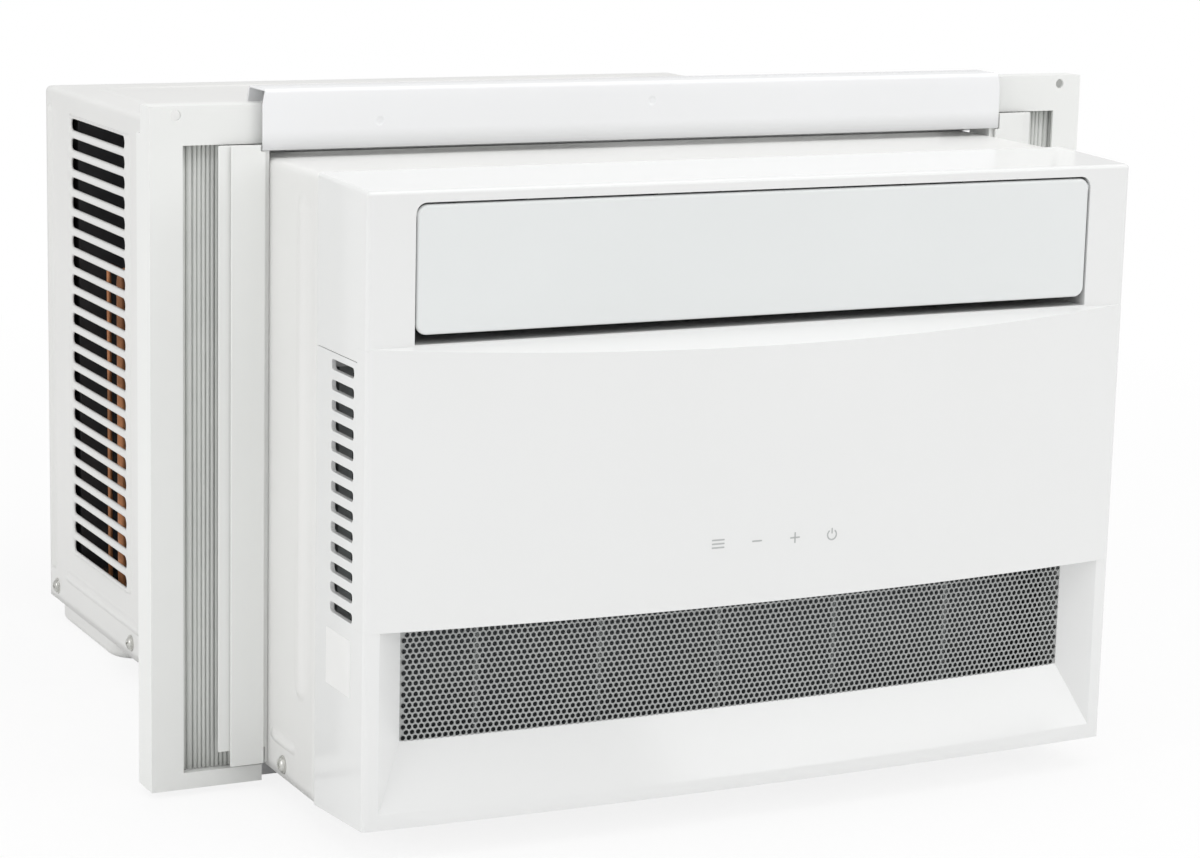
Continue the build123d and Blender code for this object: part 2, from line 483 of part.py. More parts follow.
TUBE = 3.5
ev_rows = (85.0, 105.0)
ev_z = [28 + 22.0 * i for i in range(11)]
fins = fin_block(EVX0, EVX1, 76, 114, 9, 262, 3.0, 2.2, 1.9)
for y in ev_rows:
    for z in ev_z:
        fins -= rod_x(y, z, TUBE, EVX0 - 1, EVX1 + 1)
save("evaporator_fins", fins)
save("evaporator_tubes", coil(EVX0 - 2, EVX1 + 2, ev_rows, ev_z, TUBE, (EVX0 - 2, ev_z[0], -1)))

# scroll: front plate with bell mouth, spiral wall, plenum that turns the air forward
WHEEL_R = 92.0
SCROLL_Y0, SCROLL_Y1 = 124.0, 212.0
front_plate = box(EVX0, TRAY_X1, SCROLL_Y0, SCROLL_Y0 + 3, -5, 262) - rod_y(0, FAN_Z, 78, 120, 130)
mouth = rod_y(0, FAN_Z, 80, SCROLL_Y0 + 2, SCROLL_Y0 + 9) - rod_y(0, FAN_Z, 78, 120, 140)
spiral = []
for i in range(0, 31):
    t = math.radians(60 - 9.5 * i)
    r = 99 + 17.0 * i / 30
    spiral.append((r * math.cos(t), FAN_Z + r * math.sin(t)))
end = spiral[-1]
path = spiral + [(end[0], 262.0)]
outer_wall = []
for i, (x, z) in enumerate(path):
    x2, z2 = path[min(i + 1, len(path) - 1)]
    x1, z1 = path[max(i - 1, 0)]
    d = math.hypot(x2 - x1, z2 - z1)
    outer_wall.append((x + 2.5 * (z2 - z1) / -d, z + 2.5 * (x2 - x1) / d))
wall = prism_y(path + outer_wall[::-1], SCROLL_Y0 + 2, SCROLL_Y1)
tongue = prism_y([(spiral[0][0], spiral[0][1]), (spiral[0][0] + 2.5, spiral[0][1]), (120, 262), (117, 262)],
                 SCROLL_Y0 + 2, SCROLL_Y1)
PLENUM = min(DUCT_HALF + 4.5, CAB_HALF - 6)
plenum = box(-PLENUM, PLENUM, 66, SCROLL_Y1, 262, 349)
plenum -= box(2.5 - PLENUM, PLENUM - 2.5, 60, SCROLL_Y1 + 1, 264.5, 346.5)
throat = box(end[0] + 0.5, 117, SCROLL_Y0 + 3, SCROLL_Y1, 260, 266)
scroll = front_plate + mouth + wall + tongue + plenum - throat
save("blower_scroll", scroll)

bulk = box(-PX + 1, PX - 1, SCROLL_Y1, SCROLL_Y1 + 1.2, -5, 350)
bulk = chamfer([e for e in bulk.edges().filter_by(Axis.Y) if e.center().Z > 340], 4)
bulk -= rod_y(0, FAN_Z, 14, 205, 220)
bulk += box(-PX + 1, PX - 1, SCROLL_Y1, SCROLL_Y1 + 14, -5, -3.8)
PIPE_X = CAB_HALF - 52.5  # where the lines pass the bulkhead
bulk -= box(PIPE_X - 8, PIPE_X + 8, 205, 220, 233, 257)
save("bulkhead", bulk)

wheel = rod_y(0, FAN_Z, WHEEL_R, 204.0, 205.2) + rod_y(0, FAN_Z, 13, 182, 204.5)
wheel += rod_y(0, FAN_Z, WHEEL_R, 138, 141) - rod_y(0, FAN_Z, 78, 137, 142)
wheel -= rod_y(0, FAN_Z, 5, 170, 210)
BLADES = 40
blade_pts = []
for k in range(7):
    u = k / 6
    r = 77.5 + 13.5 * u
    t = 0.17 * u * u
    blade_pts.append((r * math.cos(t), r * math.sin(t)))
thick = [(x - 0.7 * math.sin(0.35), y + 1.0) for x, y in blade_pts]
leaf = prism_y([(x, z) for x, z in blade_pts + thick[::-1]], 140, 204.6)
ring_of = [Pos(0, 0, FAN_Z) * Rot(0, 360 / BLADES * i, 0) * leaf for i in range(BLADES)]
wheel = wheel + ring_of
save("blower_wheel", wheel)

# ---- motor and its shaft ------------------------------------------------------------------
SHAFT_R = 5.0
MY0, MY1 = 246.0, 330.0
motor = rod_y(0, FAN_Z, 58, MY0 + 6, MY1 - 6)
motor = fillet(motor.edges(), 7)
motor += rod_y(0, FAN_Z, 62, 286, 290)
motor += rod_y(0, FAN_Z, 17, MY0, MY1)
motor -= rod_y(0, FAN_Z, SHAFT_R + 0.05, MY0 - 1, MY1 + 1)
save("fan_motor", motor)
shaft = rod_y(0, FAN_Z, SHAFT_R, 176, 486)
shaft -= box(-6, 6, 176, 200, FAN_Z + 4.2, FAN_Z + 6)
save("motor_shaft", shaft)
bracket = rod_y(0, FAN_Z, 66, 274, 302) - rod_y(0, FAN_Z, 62, 270, 310)
bracket += rod_y(0, FAN_Z, 62.2, 276, 284) - rod_y(0, FAN_Z, 58, 270, 310)
legs = prism_y([(-92, -5), (-72, -5), (-54, 122), (-62, 130)], 278, 298)
legs += prism_y([(92, -5), (72, -5), (54, 122), (62, 130)], 278, 298)
legs -= rod_y(0, FAN_Z, 62, 270, 310)
feet = box(-104, -70, 270, 306, -5, -3) + box(70, 104, 270, 306, -5, -3)
save("motor_bracket", bracket + legs + feet)

# ---- outdoor fan with slinger ring, shroud, condenser ----------------------------------------
RING_R = 164.0
fan = rod_y(0, FAN_Z, 34, 462, 484) - rod_y(0, FAN_Z, 31, 470, 486) + rod_y(0, FAN_Z, 11, 462, 484)
fan -= rod_y(0, FAN_Z, SHAFT_R, 450, 490)
ringp = rod_y(0, FAN_Z, RING_R, 474, 486) - rod_y(0, FAN_Z, RING_R - 2.5, 470, 490)
for i in range(5):
    blade = Pos(98, 474, 0) * Rot(32, 0, 0) * Box(134, 2.0, 78)
    trim = rod_y(0, 0, RING_R - 1.2, 440, 500) - rod_y(0, 0, 33, 430, 510)
    blade = (blade & trim) & box(0, 170, 456, 486, -80, 80)
    fan += Pos(0, 0, FAN_Z) * Rot(0, 72 * i + 10, 0) * blade
fan += ringp
save("condenser_fan", fan)
nut = rod_y(0, FAN_Z, 9, 484, 490) - rod_y(0, FAN_Z, SHAFT_R, 480, 487)
save("fan_nut", nut)

SHROUD_R, cd_z0 = 168.0, 12.0
SHROUD_X = CAB_HALF - 4.5
shroud = box(-SHROUD_X, SHROUD_X, 520, 522, -5, 347) - rod_y(0, FAN_Z, SHROUD_R, 515, 525)
lip = rod_y(0, FAN_Z, SHROUD_R + 2, 492, 522) - rod_y(0, FAN_Z, SHROUD_R, 480, 530)
lip -= box(-200, 200, 480, 530, -40, -4)
for x0, x1 in ((-SHROUD_X, 2 - SHROUD_X), (SHROUD_X - 2, SHROUD_X)):
    shroud += box(x0, x1, 521, 574, -5, 347)
LEFT_X, LIQ_X = 11.5 - CAB_HALF, 19.5 - CAB_HALF
shroud -= rod_y(LEFT_X, cd_z0, 5.5, 515, 530) + rod_y(LIQ_X, 22, 3.5, 515, 530)
save("fan_shroud", shroud + lip)

cd_rows = (540.0, 560.0)
cd_z = [12 + 22.0 * i for i in range(15)]
CDX = CAB_HALF - 26.5
cfins = fin_block(-CDX, CDX, 530, 570, -5, 336, 3.0, 2.2, 1.9)
for y in cd_rows:
    for z in cd_z:
        cfins -= rod_x(y, z, TUBE, -CDX - 1, CDX + 1)
save("condenser_fins", cfins)
save("condenser_tubes", coil(-CDX - 2, CDX + 2, cd_rows, cd_z, TUBE, (CDX + 2, cd_z[-1], 1)))

# ---- compressor and refrigerant lines ---------------------------------------------------------
cx, cy = COMP
shell = rod_z(cx, cy, 56, 24, 222)
shell = fillet(shell.edges(), 22)
base_plate = rod_z(cx, cy, 50, 20, 25)
for fx, fy in FEET:
    base_plate += rod_z(fx, fy, 13, 20, 23)
    ang = math.degrees(math.atan2(fy - cy, fx - cx))
    base_plate += Pos((cx + fx) / 2, (cy + fy) / 2, 21.5) * Rot(0, 0, ang) * Box(72, 24, 3)
for fx, fy in FEET:
    base_plate -= rod_z(fx, fy, 7.5, 15, 30)
shell = shell + base_plate
save("compressor", shell)
grom = None
nuts = None
for fx, fy in FEET:
    g = rod_z(fx, fy, 12, -5, 20) + rod_z(fx, fy, 7.5, 19, 24) + rod_z(fx, fy, 11, 23, 28)
    g -= rod_z(fx, fy, 3, -6, 30)
    grom = g if grom is None else grom + g
    hexagon = extrude(RegularPolygon(5.8, 6), amount=2.5, both=True)
    n = rod_z(fx, fy, 9, 28, 29.2) + Pos(fx, fy, 31.7) * hexagon
    n -= rod_z(fx, fy, 3, 20, 40)
    nuts = n if nuts is None else nuts + n
save("compressor_grommets", grom)
save("compressor_nuts", nuts)
cap = rod_z(cx + 9, cy, 24, 222, 240) + rod_z(cx + 9, cy, 3, 238, 246)
cap = cap - rod_z(cx + 9, cy, 22, 210, 237)
save("terminal_cover", cap)
ACC = (cx + 14, cy - 88)
acc = rod_z(ACC[0], ACC[1], 23, 70, 200)
acc = fillet(acc.edges(), 12)
acc += box(ACC[0] - 8, ACC[0] + 8, ACC[1] + 20, cy - 52, 120, 124)
save("accumulator", acc - rod_z(cx, cy, 56, 100, 140))

CROSS_Z, CROSS_Y, DROP_Y, RISER_Y = 242, 430, 452, 504
discharge = pipe([(cx - 30, cy, 222), (cx - 30, cy, CROSS_Z), (cx - 30, CROSS_Y, CROSS_Z),
                  (LEFT_X, CROSS_Y, CROSS_Z), (LEFT_X, DROP_Y, CROSS_Z), (LEFT_X, DROP_Y, cd_z[0]),
                  (LEFT_X, cd_rows[0], cd_z[0]), (-CDX - 2, cd_rows[0], cd_z[0])], 3.5, 9)
save("discharge_line", discharge)
suction = pipe([(ACC[0], ACC[1], 200), (ACC[0], ACC[1], ev_z[-1]), (PIPE_X, ACC[1], ev_z[-1]),
                (PIPE_X, ev_rows[1], ev_z[-1]), (EVX1 + 2, ev_rows[1], ev_z[-1])], 5, 9)
save("suction_line", suction)
capil = pipe([(-CDX - 2, cd_rows[1], cd_z[0]), (LIQ_X, cd_rows[1], cd_z[0]), (LIQ_X, cd_rows[1], 22),
              (LIQ_X, RISER_Y, 22), (LIQ_X, RISER_Y, 238), (LIQ_X, 440, 238), (PIPE_X, 440, 238),
              (PIPE_X, ev_rows[0], 238),
              (PIPE_X, ev_rows[0], ev_z[-1]), (EVX1 + 2, ev_rows[0], ev_z[-1])], 1.6, 3)
save("capillary_tube", capil)

# ---- electrics -----------------------------------------------------------------------------
BOX_X0, BOX_X1 = CAB_HALF - 44.5, CAB_HALF - 4.5
cbox = box(BOX_X0, BOX_X1, 78, 200, -5, 250) - box(BOX_X0 + 1.2, BOX_X1 - 1.2, 79.2, 198.8, 2, 248.8)
cbox -= box(BOX_X0 - 1, BOX_X0 + 2, 90, 188, 30, 235)
save("control_box", cbox)
CARD_X = BOX_X1 - 5
cboard = box(CARD_X, CARD_X + 1.6, 88, 190, 100, 236)
BOARD_PARTS = ((110, 210, 20, 24, 16), (150, 206, 26, 20, 14), (120, 150, 12, 30, 12), (165, 140, 18, 18, 18))
for y, z, a, b, h in BOARD_PARTS:
    cboard += box(CARD_X - h, CARD_X + 0.2, y - a / 2, y + a / 2, z - b / 2, z + b / 2)
for y, z in ((92, 104), (186, 104), (92, 232), (186, 232)):
    cboard += rod_x(y, z, 2.5, CARD_X + 1.4, BOX_X1 - 1.2)
save("control_board", cboard)
CAN_X = (BOX_X0 + BOX_X1) / 2
runcap = rod_z(CAN_X, 120, 17, 2, 78)
runcap = fillet(runcap.edges().sort_by(Axis.Z)[-1:], 3)
runcap += box(CAN_X - 6, CAN_X - 4, 113, 119, 77, 86) + box(CAN_X + 4, CAN_X + 6, 121, 127, 77, 86)
save("run_capacitor", runcap)
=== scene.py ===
"""Finish of the window air conditioner, piece by piece in the order it is put together.

Lengths are written in millimetres in the maker's drawing frame: X across the width, Y = 0 on
the front plane of the upper frame and growing towards the outdoors, Z = 0 at the lower front
corner of the bezel.  at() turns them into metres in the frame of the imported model.
"""

import json
import math

import bmesh
import bpy
import numpy as np
from mathutils import Matrix, Vector

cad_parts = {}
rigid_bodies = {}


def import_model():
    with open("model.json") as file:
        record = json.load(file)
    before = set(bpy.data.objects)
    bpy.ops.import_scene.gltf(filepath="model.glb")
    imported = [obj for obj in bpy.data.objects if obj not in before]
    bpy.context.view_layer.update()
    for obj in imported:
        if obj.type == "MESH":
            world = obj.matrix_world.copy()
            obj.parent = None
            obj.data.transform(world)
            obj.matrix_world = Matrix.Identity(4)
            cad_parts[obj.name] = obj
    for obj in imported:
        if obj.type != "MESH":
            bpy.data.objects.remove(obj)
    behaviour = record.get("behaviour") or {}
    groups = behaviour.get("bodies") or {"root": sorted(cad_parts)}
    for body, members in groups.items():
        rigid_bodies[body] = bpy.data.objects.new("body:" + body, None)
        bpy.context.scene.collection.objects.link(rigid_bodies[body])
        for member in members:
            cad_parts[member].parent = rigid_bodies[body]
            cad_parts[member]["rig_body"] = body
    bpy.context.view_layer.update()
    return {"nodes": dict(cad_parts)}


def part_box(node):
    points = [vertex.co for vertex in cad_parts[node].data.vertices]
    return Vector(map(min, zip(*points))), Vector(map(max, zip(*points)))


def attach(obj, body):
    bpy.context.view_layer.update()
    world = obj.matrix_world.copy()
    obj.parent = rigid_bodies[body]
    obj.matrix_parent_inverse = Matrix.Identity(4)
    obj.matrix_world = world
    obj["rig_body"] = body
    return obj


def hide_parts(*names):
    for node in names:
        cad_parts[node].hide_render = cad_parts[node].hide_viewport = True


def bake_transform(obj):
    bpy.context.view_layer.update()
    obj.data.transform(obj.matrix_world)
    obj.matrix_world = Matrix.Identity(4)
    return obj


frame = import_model()

# ---- Base pan --------------------------------------------------------------------------
# A tray of sheet steel with a sump pressed into its back, where the fan picks up condensate.
# It is powder coated the same warm white as the cabinet; a rubber plug closes its drain.


def coated(name, colour, roughness, metallic=0.0, mottle=0.03, patch=0.06, grain=0.0, grain_size=0.4):
    """Painted, moulded or plated surface on object coordinates, in metres.

    Colour is the finish's own colour times 1 +- mottle over patches of the given size in
    metres, roughness drifts by a tenth with the same noise, and a finer noise of grain_size
    millimetres raises the surface by grain millimetres."""
    material = bpy.data.materials.new(name)
    material.use_nodes = True
    tree = material.node_tree
    base = tree.nodes["Principled BSDF"]
    base.inputs["Metallic"].default_value = metallic
    where = tree.nodes.new("ShaderNodeTexCoord")
    noise = tree.nodes.new("ShaderNodeTexNoise")
    noise.inputs["Scale"].default_value = 1 / patch
    noise.inputs["Detail"].default_value = 4
    tree.links.new(where.outputs["Object"], noise.inputs["Vector"])
    ramp = tree.nodes.new("ShaderNodeValToRGB")
    ramp.color_ramp.elements[0].position = 0.35
    ramp.color_ramp.elements[1].position = 0.65
    ramp.color_ramp.elements[0].color = (*[c * (1 - mottle) for c in colour], 1)
    ramp.color_ramp.elements[1].color = (*[min(1, c * (1 + mottle)) for c in colour], 1)
    tree.links.new(noise.outputs["Fac"], ramp.inputs["Fac"])
    tree.links.new(ramp.outputs["Color"], base.inputs["Base Color"])
    rough = tree.nodes.new("ShaderNodeMapRange")
    rough.inputs["To Min"].default_value = roughness * 0.9
    rough.inputs["To Max"].default_value = min(1, roughness * 1.1)
    tree.links.new(noise.outputs["Fac"], rough.inputs["Value"])
    tree.links.new(rough.outputs["Result"], base.inputs["Roughness"])
    if grain:
        fine = tree.nodes.new("ShaderNodeTexNoise")
        fine.inputs["Scale"].default_value = 1000 / grain_size
        fine.inputs["Detail"].default_value = 2
        tree.links.new(where.outputs["Object"], fine.inputs["Vector"])
        bump = tree.nodes.new("ShaderNodeBump")
        bump.inputs["Strength"].default_value = 1.0
        bump.inputs["Distance"].default_value = grain * 0.001
        tree.links.new(fine.outputs["Fac"], bump.inputs["Height"])
        tree.links.new(bump.outputs["Normal"], base.inputs["Normal"])
    return material


def paint(material, *names):
    """Gives the material to CAD nodes, whose shape is kept."""
    for name in names:
        for slot in frame["nodes"][name].material_slots:
            slot.material = material


powder = coated("powder_coat", (0.815, 0.815, 0.80), 0.30, mottle=0.012, patch=0.12,
                grain=0.012, grain_size=0.9)
rubber = coated("black_rubber", (0.035, 0.035, 0.036), 0.75, mottle=0.12, patch=0.02, grain=0.05)
paint(powder, "base_pan")
paint(rubber, "drain_plug")

# ---- Compressor and its lines ----------------------------------------------------------
# A welded steel can on three rubber feet, sprayed black.  Drawn copper lines leave it; they
# have gone brown in patches where the torch brazed them.
black_paint = coated("black_can_paint", (0.03, 0.03, 0.032), 0.38, mottle=0.15, grain=0.08,
                     grain_size=1.2)
copper = coated("drawn_copper", (0.64, 0.28, 0.13), 0.45, metallic=0.35, mottle=0.35,
                patch=0.035, grain=0.02)
black_plastic = coated("black_moulding", (0.045, 0.045, 0.048), 0.55, mottle=0.08, grain=0.05)
zinc = coated("zinc_plating", (0.66, 0.66, 0.63), 0.33, metallic=0.9, mottle=0.10, patch=0.006)
paint(black_paint, "compressor", "accumulator")
paint(black_plastic, "terminal_cover")
paint(rubber, "compressor_grommets")
paint(zinc, "compressor_nuts")
paint(copper, "discharge_line", "suction_line", "capillary_tube")

# ---- Coils -----------------------------------------------------------------------------
# Copper hairpins through hundreds of aluminium fins about 1.6 mm apart; from outside only the
# fins' bright edges and the dark gaps between them show.  The fins are one solid block here, and the
# shade in the gaps is painted into its colour.
# FIN_GAP_SHADE is painted shade: the near-black colour given to the gaps between the fins
ALUMINIUM, FIN_GAP_SHADE = (0.70, 0.72, 0.74), (0.10, 0.10, 0.11)
FIN_PITCH, FIN_RELIEF = 0.0016, 0.0006  # metres
WAVE_LENGTH = 0.314                     # metres from band to band in a wave texture of scale 1


def bands(tree, direction, pitch):
    """Factor that runs from 0 to 1 and back as a sine along an axis, once in each pitch."""
    wave = tree.nodes.new("ShaderNodeTexWave")
    wave.bands_direction = direction
    wave.inputs["Scale"].default_value = WAVE_LENGTH / pitch
    tree.links.new(tree.nodes["Texture Coordinate"].outputs["Object"], wave.inputs["Vector"])
    return wave.outputs["Fac"]


def paint_shade_between(tree, dark, factor):
    """Leaves the finish its own colour where factor is 1 and paints shade, a dark colour, where it is
    0.
    """
    shade = tree.nodes.new("ShaderNodeMix")
    shade.data_type = "RGBA"
    shade.inputs["A"].default_value = (*dark, 1)
    tree.links.new(factor, shade.inputs["Factor"])
    tree.links.new(tree.nodes["Color Ramp"].outputs["Color"], shade.inputs["B"])
    tree.links.new(shade.outputs["Result"], tree.nodes["Principled BSDF"].inputs["Base Color"])


def finned(name):
    """Fin edges: bands across X, FIN_PITCH apart, set raised light edges against painted shade in the
    gaps.
    """
    material = coated(name, ALUMINIUM, 0.36, metallic=0.8, mottle=0.06, patch=0.05)
    tree = material.node_tree
    edges = bands(tree, "X", FIN_PITCH)
    paint_shade_between(tree, FIN_GAP_SHADE, edges)
    bump = tree.nodes.new("ShaderNodeBump")
    bump.inputs["Distance"].default_value = FIN_RELIEF
    tree.links.new(edges, bump.inputs["Height"])
    tree.links.new(bump.outputs["Normal"], tree.nodes["Principled BSDF"].inputs["Normal"])
    return material


paint(finned("fin_edges"), "condenser_fins", "evaporator_fins")
paint(copper, "condenser_tubes", "evaporator_tubes")

# ---- Motor, fans and their housings ----------------------------------------------------
# One motor with a shaft out of both ends turns the blower drum indoors and the slinger fan
# outdoors.  Bracket and bulkhead are hot-dipped sheet: crystals of zinc a centimetre across,
# each a little lighter or darker than the next.
GALVANISED = (0.60, 0.62, 0.63)
SPANGLES, SPANGLE_CONTRAST = 110, 0.22  # crystals to the metre; how much each differs in grey


def spangled(name):
    """Zinc crystals: each cell of a Voronoi pattern multiplies the sheet's colour by its grey."""
    material = coated(name, GALVANISED, 0.42, metallic=0.85, mottle=0.04)
    tree = material.node_tree
    cells = tree.nodes.new("ShaderNodeTexVoronoi")
    cells.inputs["Scale"].default_value = SPANGLES
    tree.links.new(tree.nodes["Texture Coordinate"].outputs["Object"], cells.inputs["Vector"])
    grey = tree.nodes.new("ShaderNodeMix")
    grey.data_type = "RGBA"
    grey.blend_type = "MULTIPLY"
    grey.inputs["Factor"].default_value = SPANGLE_CONTRAST
    tree.links.new(tree.nodes["Color Ramp"].outputs["Color"], grey.inputs["A"])
    spread = tree.nodes.new("ShaderNodeSeparateColor")
    tree.links.new(cells.outputs["Color"], spread.inputs["Color"])
    tree.links.new(spread.outputs["Red"], grey.inputs["B"])
    tree.links.new(grey.outputs["Result"], tree.nodes["Principled BSDF"].inputs["Base Color"])
    return material


galvanised = spangled("galvanised_sheet")
foam = coated("moulded_foam", (0.78, 0.79, 0.77), 0.85, mottle=0.05, patch=0.01, grain=0.25,
              grain_size=2.5)
enamel = coated("motor_enamel", (0.28, 0.29, 0.30), 0.42, mottle=0.06, grain=0.04)
ground_steel = coated("ground_steel", (0.58, 0.58, 0.57), 0.22, metallic=1.0, mottle=0.05,
                      patch=0.004)
paint(enamel, "fan_motor")
paint(ground_steel, "motor_shaft")
paint(zinc, "fan_nut")
paint(galvanised, "motor_bracket", "bulkhead")
paint(black_plastic, "condenser_fan", "blower_wheel", "fan_shroud")
paint(foam, "blower_scroll", "drip_tray")

# ---- Electrics -------------------------------------------------------------------------
# A folded steel box beside the evaporator holds the green control board and the motor's
# capacitor; a second small board with spring pads lies behind the glossy panel.
board_green = coated("solder_mask", (0.03, 0.20, 0.10), 0.35, mottle=0.25, patch=0.004,
                     grain=0.05, grain_size=1.5)
drawn_can = coated("drawn_can", (0.66, 0.67, 0.68), 0.28, metallic=1.0, mottle=0.04)
paint(galvanised, "control_box")
paint(board_green, "control_board", "touch_board")
paint(drawn_can, "run_capacitor")

# ---- Cabinet ---------------------------------------------------------------------------
# One sheet of steel folded down both sides, powder coated warm white.  The louvres are
# pierced in one blow: the strip left between two slots is rolled outwards into a half round
# bar, and long beads stiffen the flat sides and top.
SEAM_Z = 258.2                          # top of the lower front frame
FRONT_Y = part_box("upper_front_frame")[0].y
BASE_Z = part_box("lower_front_grille")[1].z - SEAM_Z * 0.001
SHEET = 0.9
CAB_HALF, CAB_TOP, CAB_LOW, CAB_FRONT, CAB_REAR = 240.5, 351.4, -5.2, 71.0, 580.0
CAB_CORNER = 4.0                        # outer radius of the two folds
FLAT_HALF, FLAT_TOP = CAB_HALF - CAB_CORNER, CAB_TOP - CAB_CORNER
REAR_HALF, REAR_TOP = 229.0, 340.0      # opening in the back for the condenser
BACK_EASE = 0.9                         # the sides stop this short of the back, which rounds it
SLOTS, SLOT_TOP, SLOT_PITCH = 23, 331.3, 13.09      # SLOT_TOP is the middle of the highest slot
SLOT_Y, SLOT_HALF, SLOT_RISE, SLOT_ROUND = 464.0, 58.0, 4.7, 4.3
CREST, ROLL, BEAD = 0.8, 0.7, 2.5       # bars stand out, slot edges turn in, beads stand out
MARGIN, BAR_FADE = 6.0, 0.4             # past the slots: where the sheet is flat, bars start to fade
FIELD_FRONT, FIELD_REAR = SLOT_Y - SLOT_HALF - MARGIN, SLOT_Y + SLOT_HALF + MARGIN
SLOT_ALONG = 6                          # points along half a slot's top
SLOT_ROWS = (0, 0.04, 0.12, 0.25, 0.45, 0.7, 1)     # rows from a slot's edge to its cell's
# beads on a side: middle y, middle z, half length in y, half length in z
BEADS = ((96.5, 192.5, 7.5, 143.5), (123.5, 17, 18.5, 4), (358, 17, 182, 4), (568.5, 178, 2.5, 162))
# ridge pressed round the top: its rectangle's middle and halves, then its section
BORDER_Y, BORDER_HALF_X, BORDER_HALF_Y, BORDER_ROUND = 376, 210, 176, 12
BORDER_RISE, BORDER_WIDE, BORDER_FLANK = 0.75, 8, 2.4


def at(points):
    """Millimetres in the drawing frame to metres in the frame of the model."""
    return np.asarray(points, float) * 0.001 + np.array([0.0, FRONT_Y, BASE_Z])


def smooth(t):
    """0 below 0, 1 above 1, and 3t^2 - 2t^3 between."""
    t = np.clip(t, 0, 1)
    return t * t * (3 - 2 * t)


def rounded(u, v, half_u, half_v, radius):
    """Distance from a rectangle with round corners, less than 0 inside it."""
    du = np.abs(u) - (half_u - radius)
    dv = np.abs(v) - (half_v - radius)
    outside = np.hypot(np.maximum(du, 0), np.maximum(dv, 0))
    return outside + np.minimum(np.maximum(du, dv), 0) - radius


def lines(start, *spans):
    """Grid lines from start on; each span is (end, step) and begins where the last one ended."""
    parts = []
    for end, step in spans:
        parts.append(np.linspace(start, end, max(2, int(round((end - start) / step)) + 1)))
        start = end
    return np.unique(np.round(np.concatenate(parts), 4))


def quads(grid, keep=None):
    """Points of an n x m grid and its (n-1) x (m-1) quads, less those where keep is false."""
    n, m = grid.shape[:2]
    index = np.arange(n * m).reshape(n, m)
    faces = np.stack([index[:-1, :-1], index[1:, :-1], index[1:, 1:], index[:-1, 1:]], axis=-1)
    faces = faces.reshape(-1, 4) if keep is None else faces[keep]
    return grid.reshape(-1, 3), faces


def make_piece(name, parts, material, body, thickness=0.0):
    """One mesh from (points, faces) parts in millimetres, welded where they meet.

    With a thickness the sheet is given a wall on its inner side, which closes it.  A piece that
    crosses a joint is given no body and is left unattached."""
    offset = 0
    all_points, all_faces = [], []
    for points, faces in parts:
        all_points.append(points)
        all_faces.append(faces + offset)
        offset += len(points)
    faces = np.concatenate(all_faces)
    mesh = bpy.data.meshes.new(name)
    mesh.from_pydata(at(np.concatenate(all_points)), [], faces.tolist())
    weld = bmesh.new()
    weld.from_mesh(mesh)
    bmesh.ops.remove_doubles(weld, verts=weld.verts, dist=4e-6)
    weld.to_mesh(mesh)
    weld.free()
    mesh.shade_smooth()
    mesh.set_sharp_from_angle(angle=math.radians(50))
    mesh.materials.append(material)
    piece = bpy.data.objects.new(name, mesh)
    bpy.context.scene.collection.objects.link(piece)
    if thickness:
        wall = piece.modifiers.new("wall", "SOLIDIFY")
        wall.thickness = thickness * 0.001
        wall.offset = -1
    if body:
        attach(piece, body)
    return piece


def quarter_turn(half_u, half_v, radius, cell_u, cell_v, along):
    """First quarter of a slot's outline and of its cell's, paired point by point.

    The slot runs up its end, round the corner and along its top to the middle; the cell's
    outline keeps the same u or v, and its corner is paired with the middle of the slot's."""
    turn = np.radians([0, 22.5, 45, 67.5, 90])
    low, side = half_v - radius, half_u - radius
    arc = np.stack([side + radius * np.cos(turn), low + radius * np.sin(turn)], 1)
    run = np.linspace(side, 0, along)[1:]
    slot = np.concatenate([[[half_u, 0]], arc, np.stack([run, np.full_like(run, half_v)], 1)])
    corner = [[cell_u, low], [cell_u, (low + cell_v) / 2], [cell_u, cell_v],
              [(side + cell_u) / 2, cell_v]]
    edge = np.stack([np.append(side, run), np.full(along, cell_v)], 1)
    cell = np.concatenate([[[cell_u, 0]], corner, edge])
    return slot, cell


def mirrored(quarter):
    """Closed loop of (u, v) points from its first quarter, mirrored across v and then u."""
    half = np.concatenate([quarter, (quarter * [-1, 1])[-2::-1]])
    return np.concatenate([half, (half * [1, -1])[-2::-1]])


def louvre_height(y, z):
    """Rolled bars: a quarter ellipse rises from ROLL inside the sheet at every slot's edge to
    CREST outside it in the middle of the bar; past the field it fades within MARGIN."""
    middle = SLOT_TOP - SLOT_PITCH * np.clip(np.round((SLOT_TOP - z) / SLOT_PITCH), 0, SLOTS - 1)
    gap = rounded(y - SLOT_Y, z - middle, SLOT_HALF, SLOT_RISE, SLOT_ROUND)
    bar = SLOT_PITCH / 2 - SLOT_RISE
    rise = np.sqrt(1 - (1 - np.clip(gap / bar, 0, 1)) ** 2)
    field_half = SLOT_PITCH * (SLOTS - 1) / 2 + SLOT_RISE
    field_middle = SLOT_TOP - SLOT_PITCH * (SLOTS - 1) / 2
    outside = rounded(y - SLOT_Y, z - field_middle, SLOT_HALF, field_half, SLOT_ROUND)
    return ROLL * (rise - 1) + CREST * rise * (1 - smooth((outside - BAR_FADE) / (MARGIN - 1)))


def side_height(y, z):
    """Louvres and the stiffening beads: a bead's section is a parabola BEAD high."""
    height = louvre_height(y, z)
    for mid_y, mid_z, half_y, half_z in BEADS:
        inside = -rounded(y - mid_y, z - mid_z, half_y, half_z, min(half_y, half_z))
        steep = 1 - np.clip(inside / min(half_y, half_z), 0, 1)
        height = np.maximum(height, np.where(inside > 0, BEAD * (1 - steep ** 2), height))
    return height


def top_height(x, y):
    """Border of the top: a smooth ridge of BORDER_RISE along a rectangle with round corners."""
    away = np.abs(rounded(x, y - BORDER_Y, BORDER_HALF_X, BORDER_HALF_Y, BORDER_ROUND))
    return BORDER_RISE * smooth((BORDER_WIDE / 2 - away) / BORDER_FLANK)


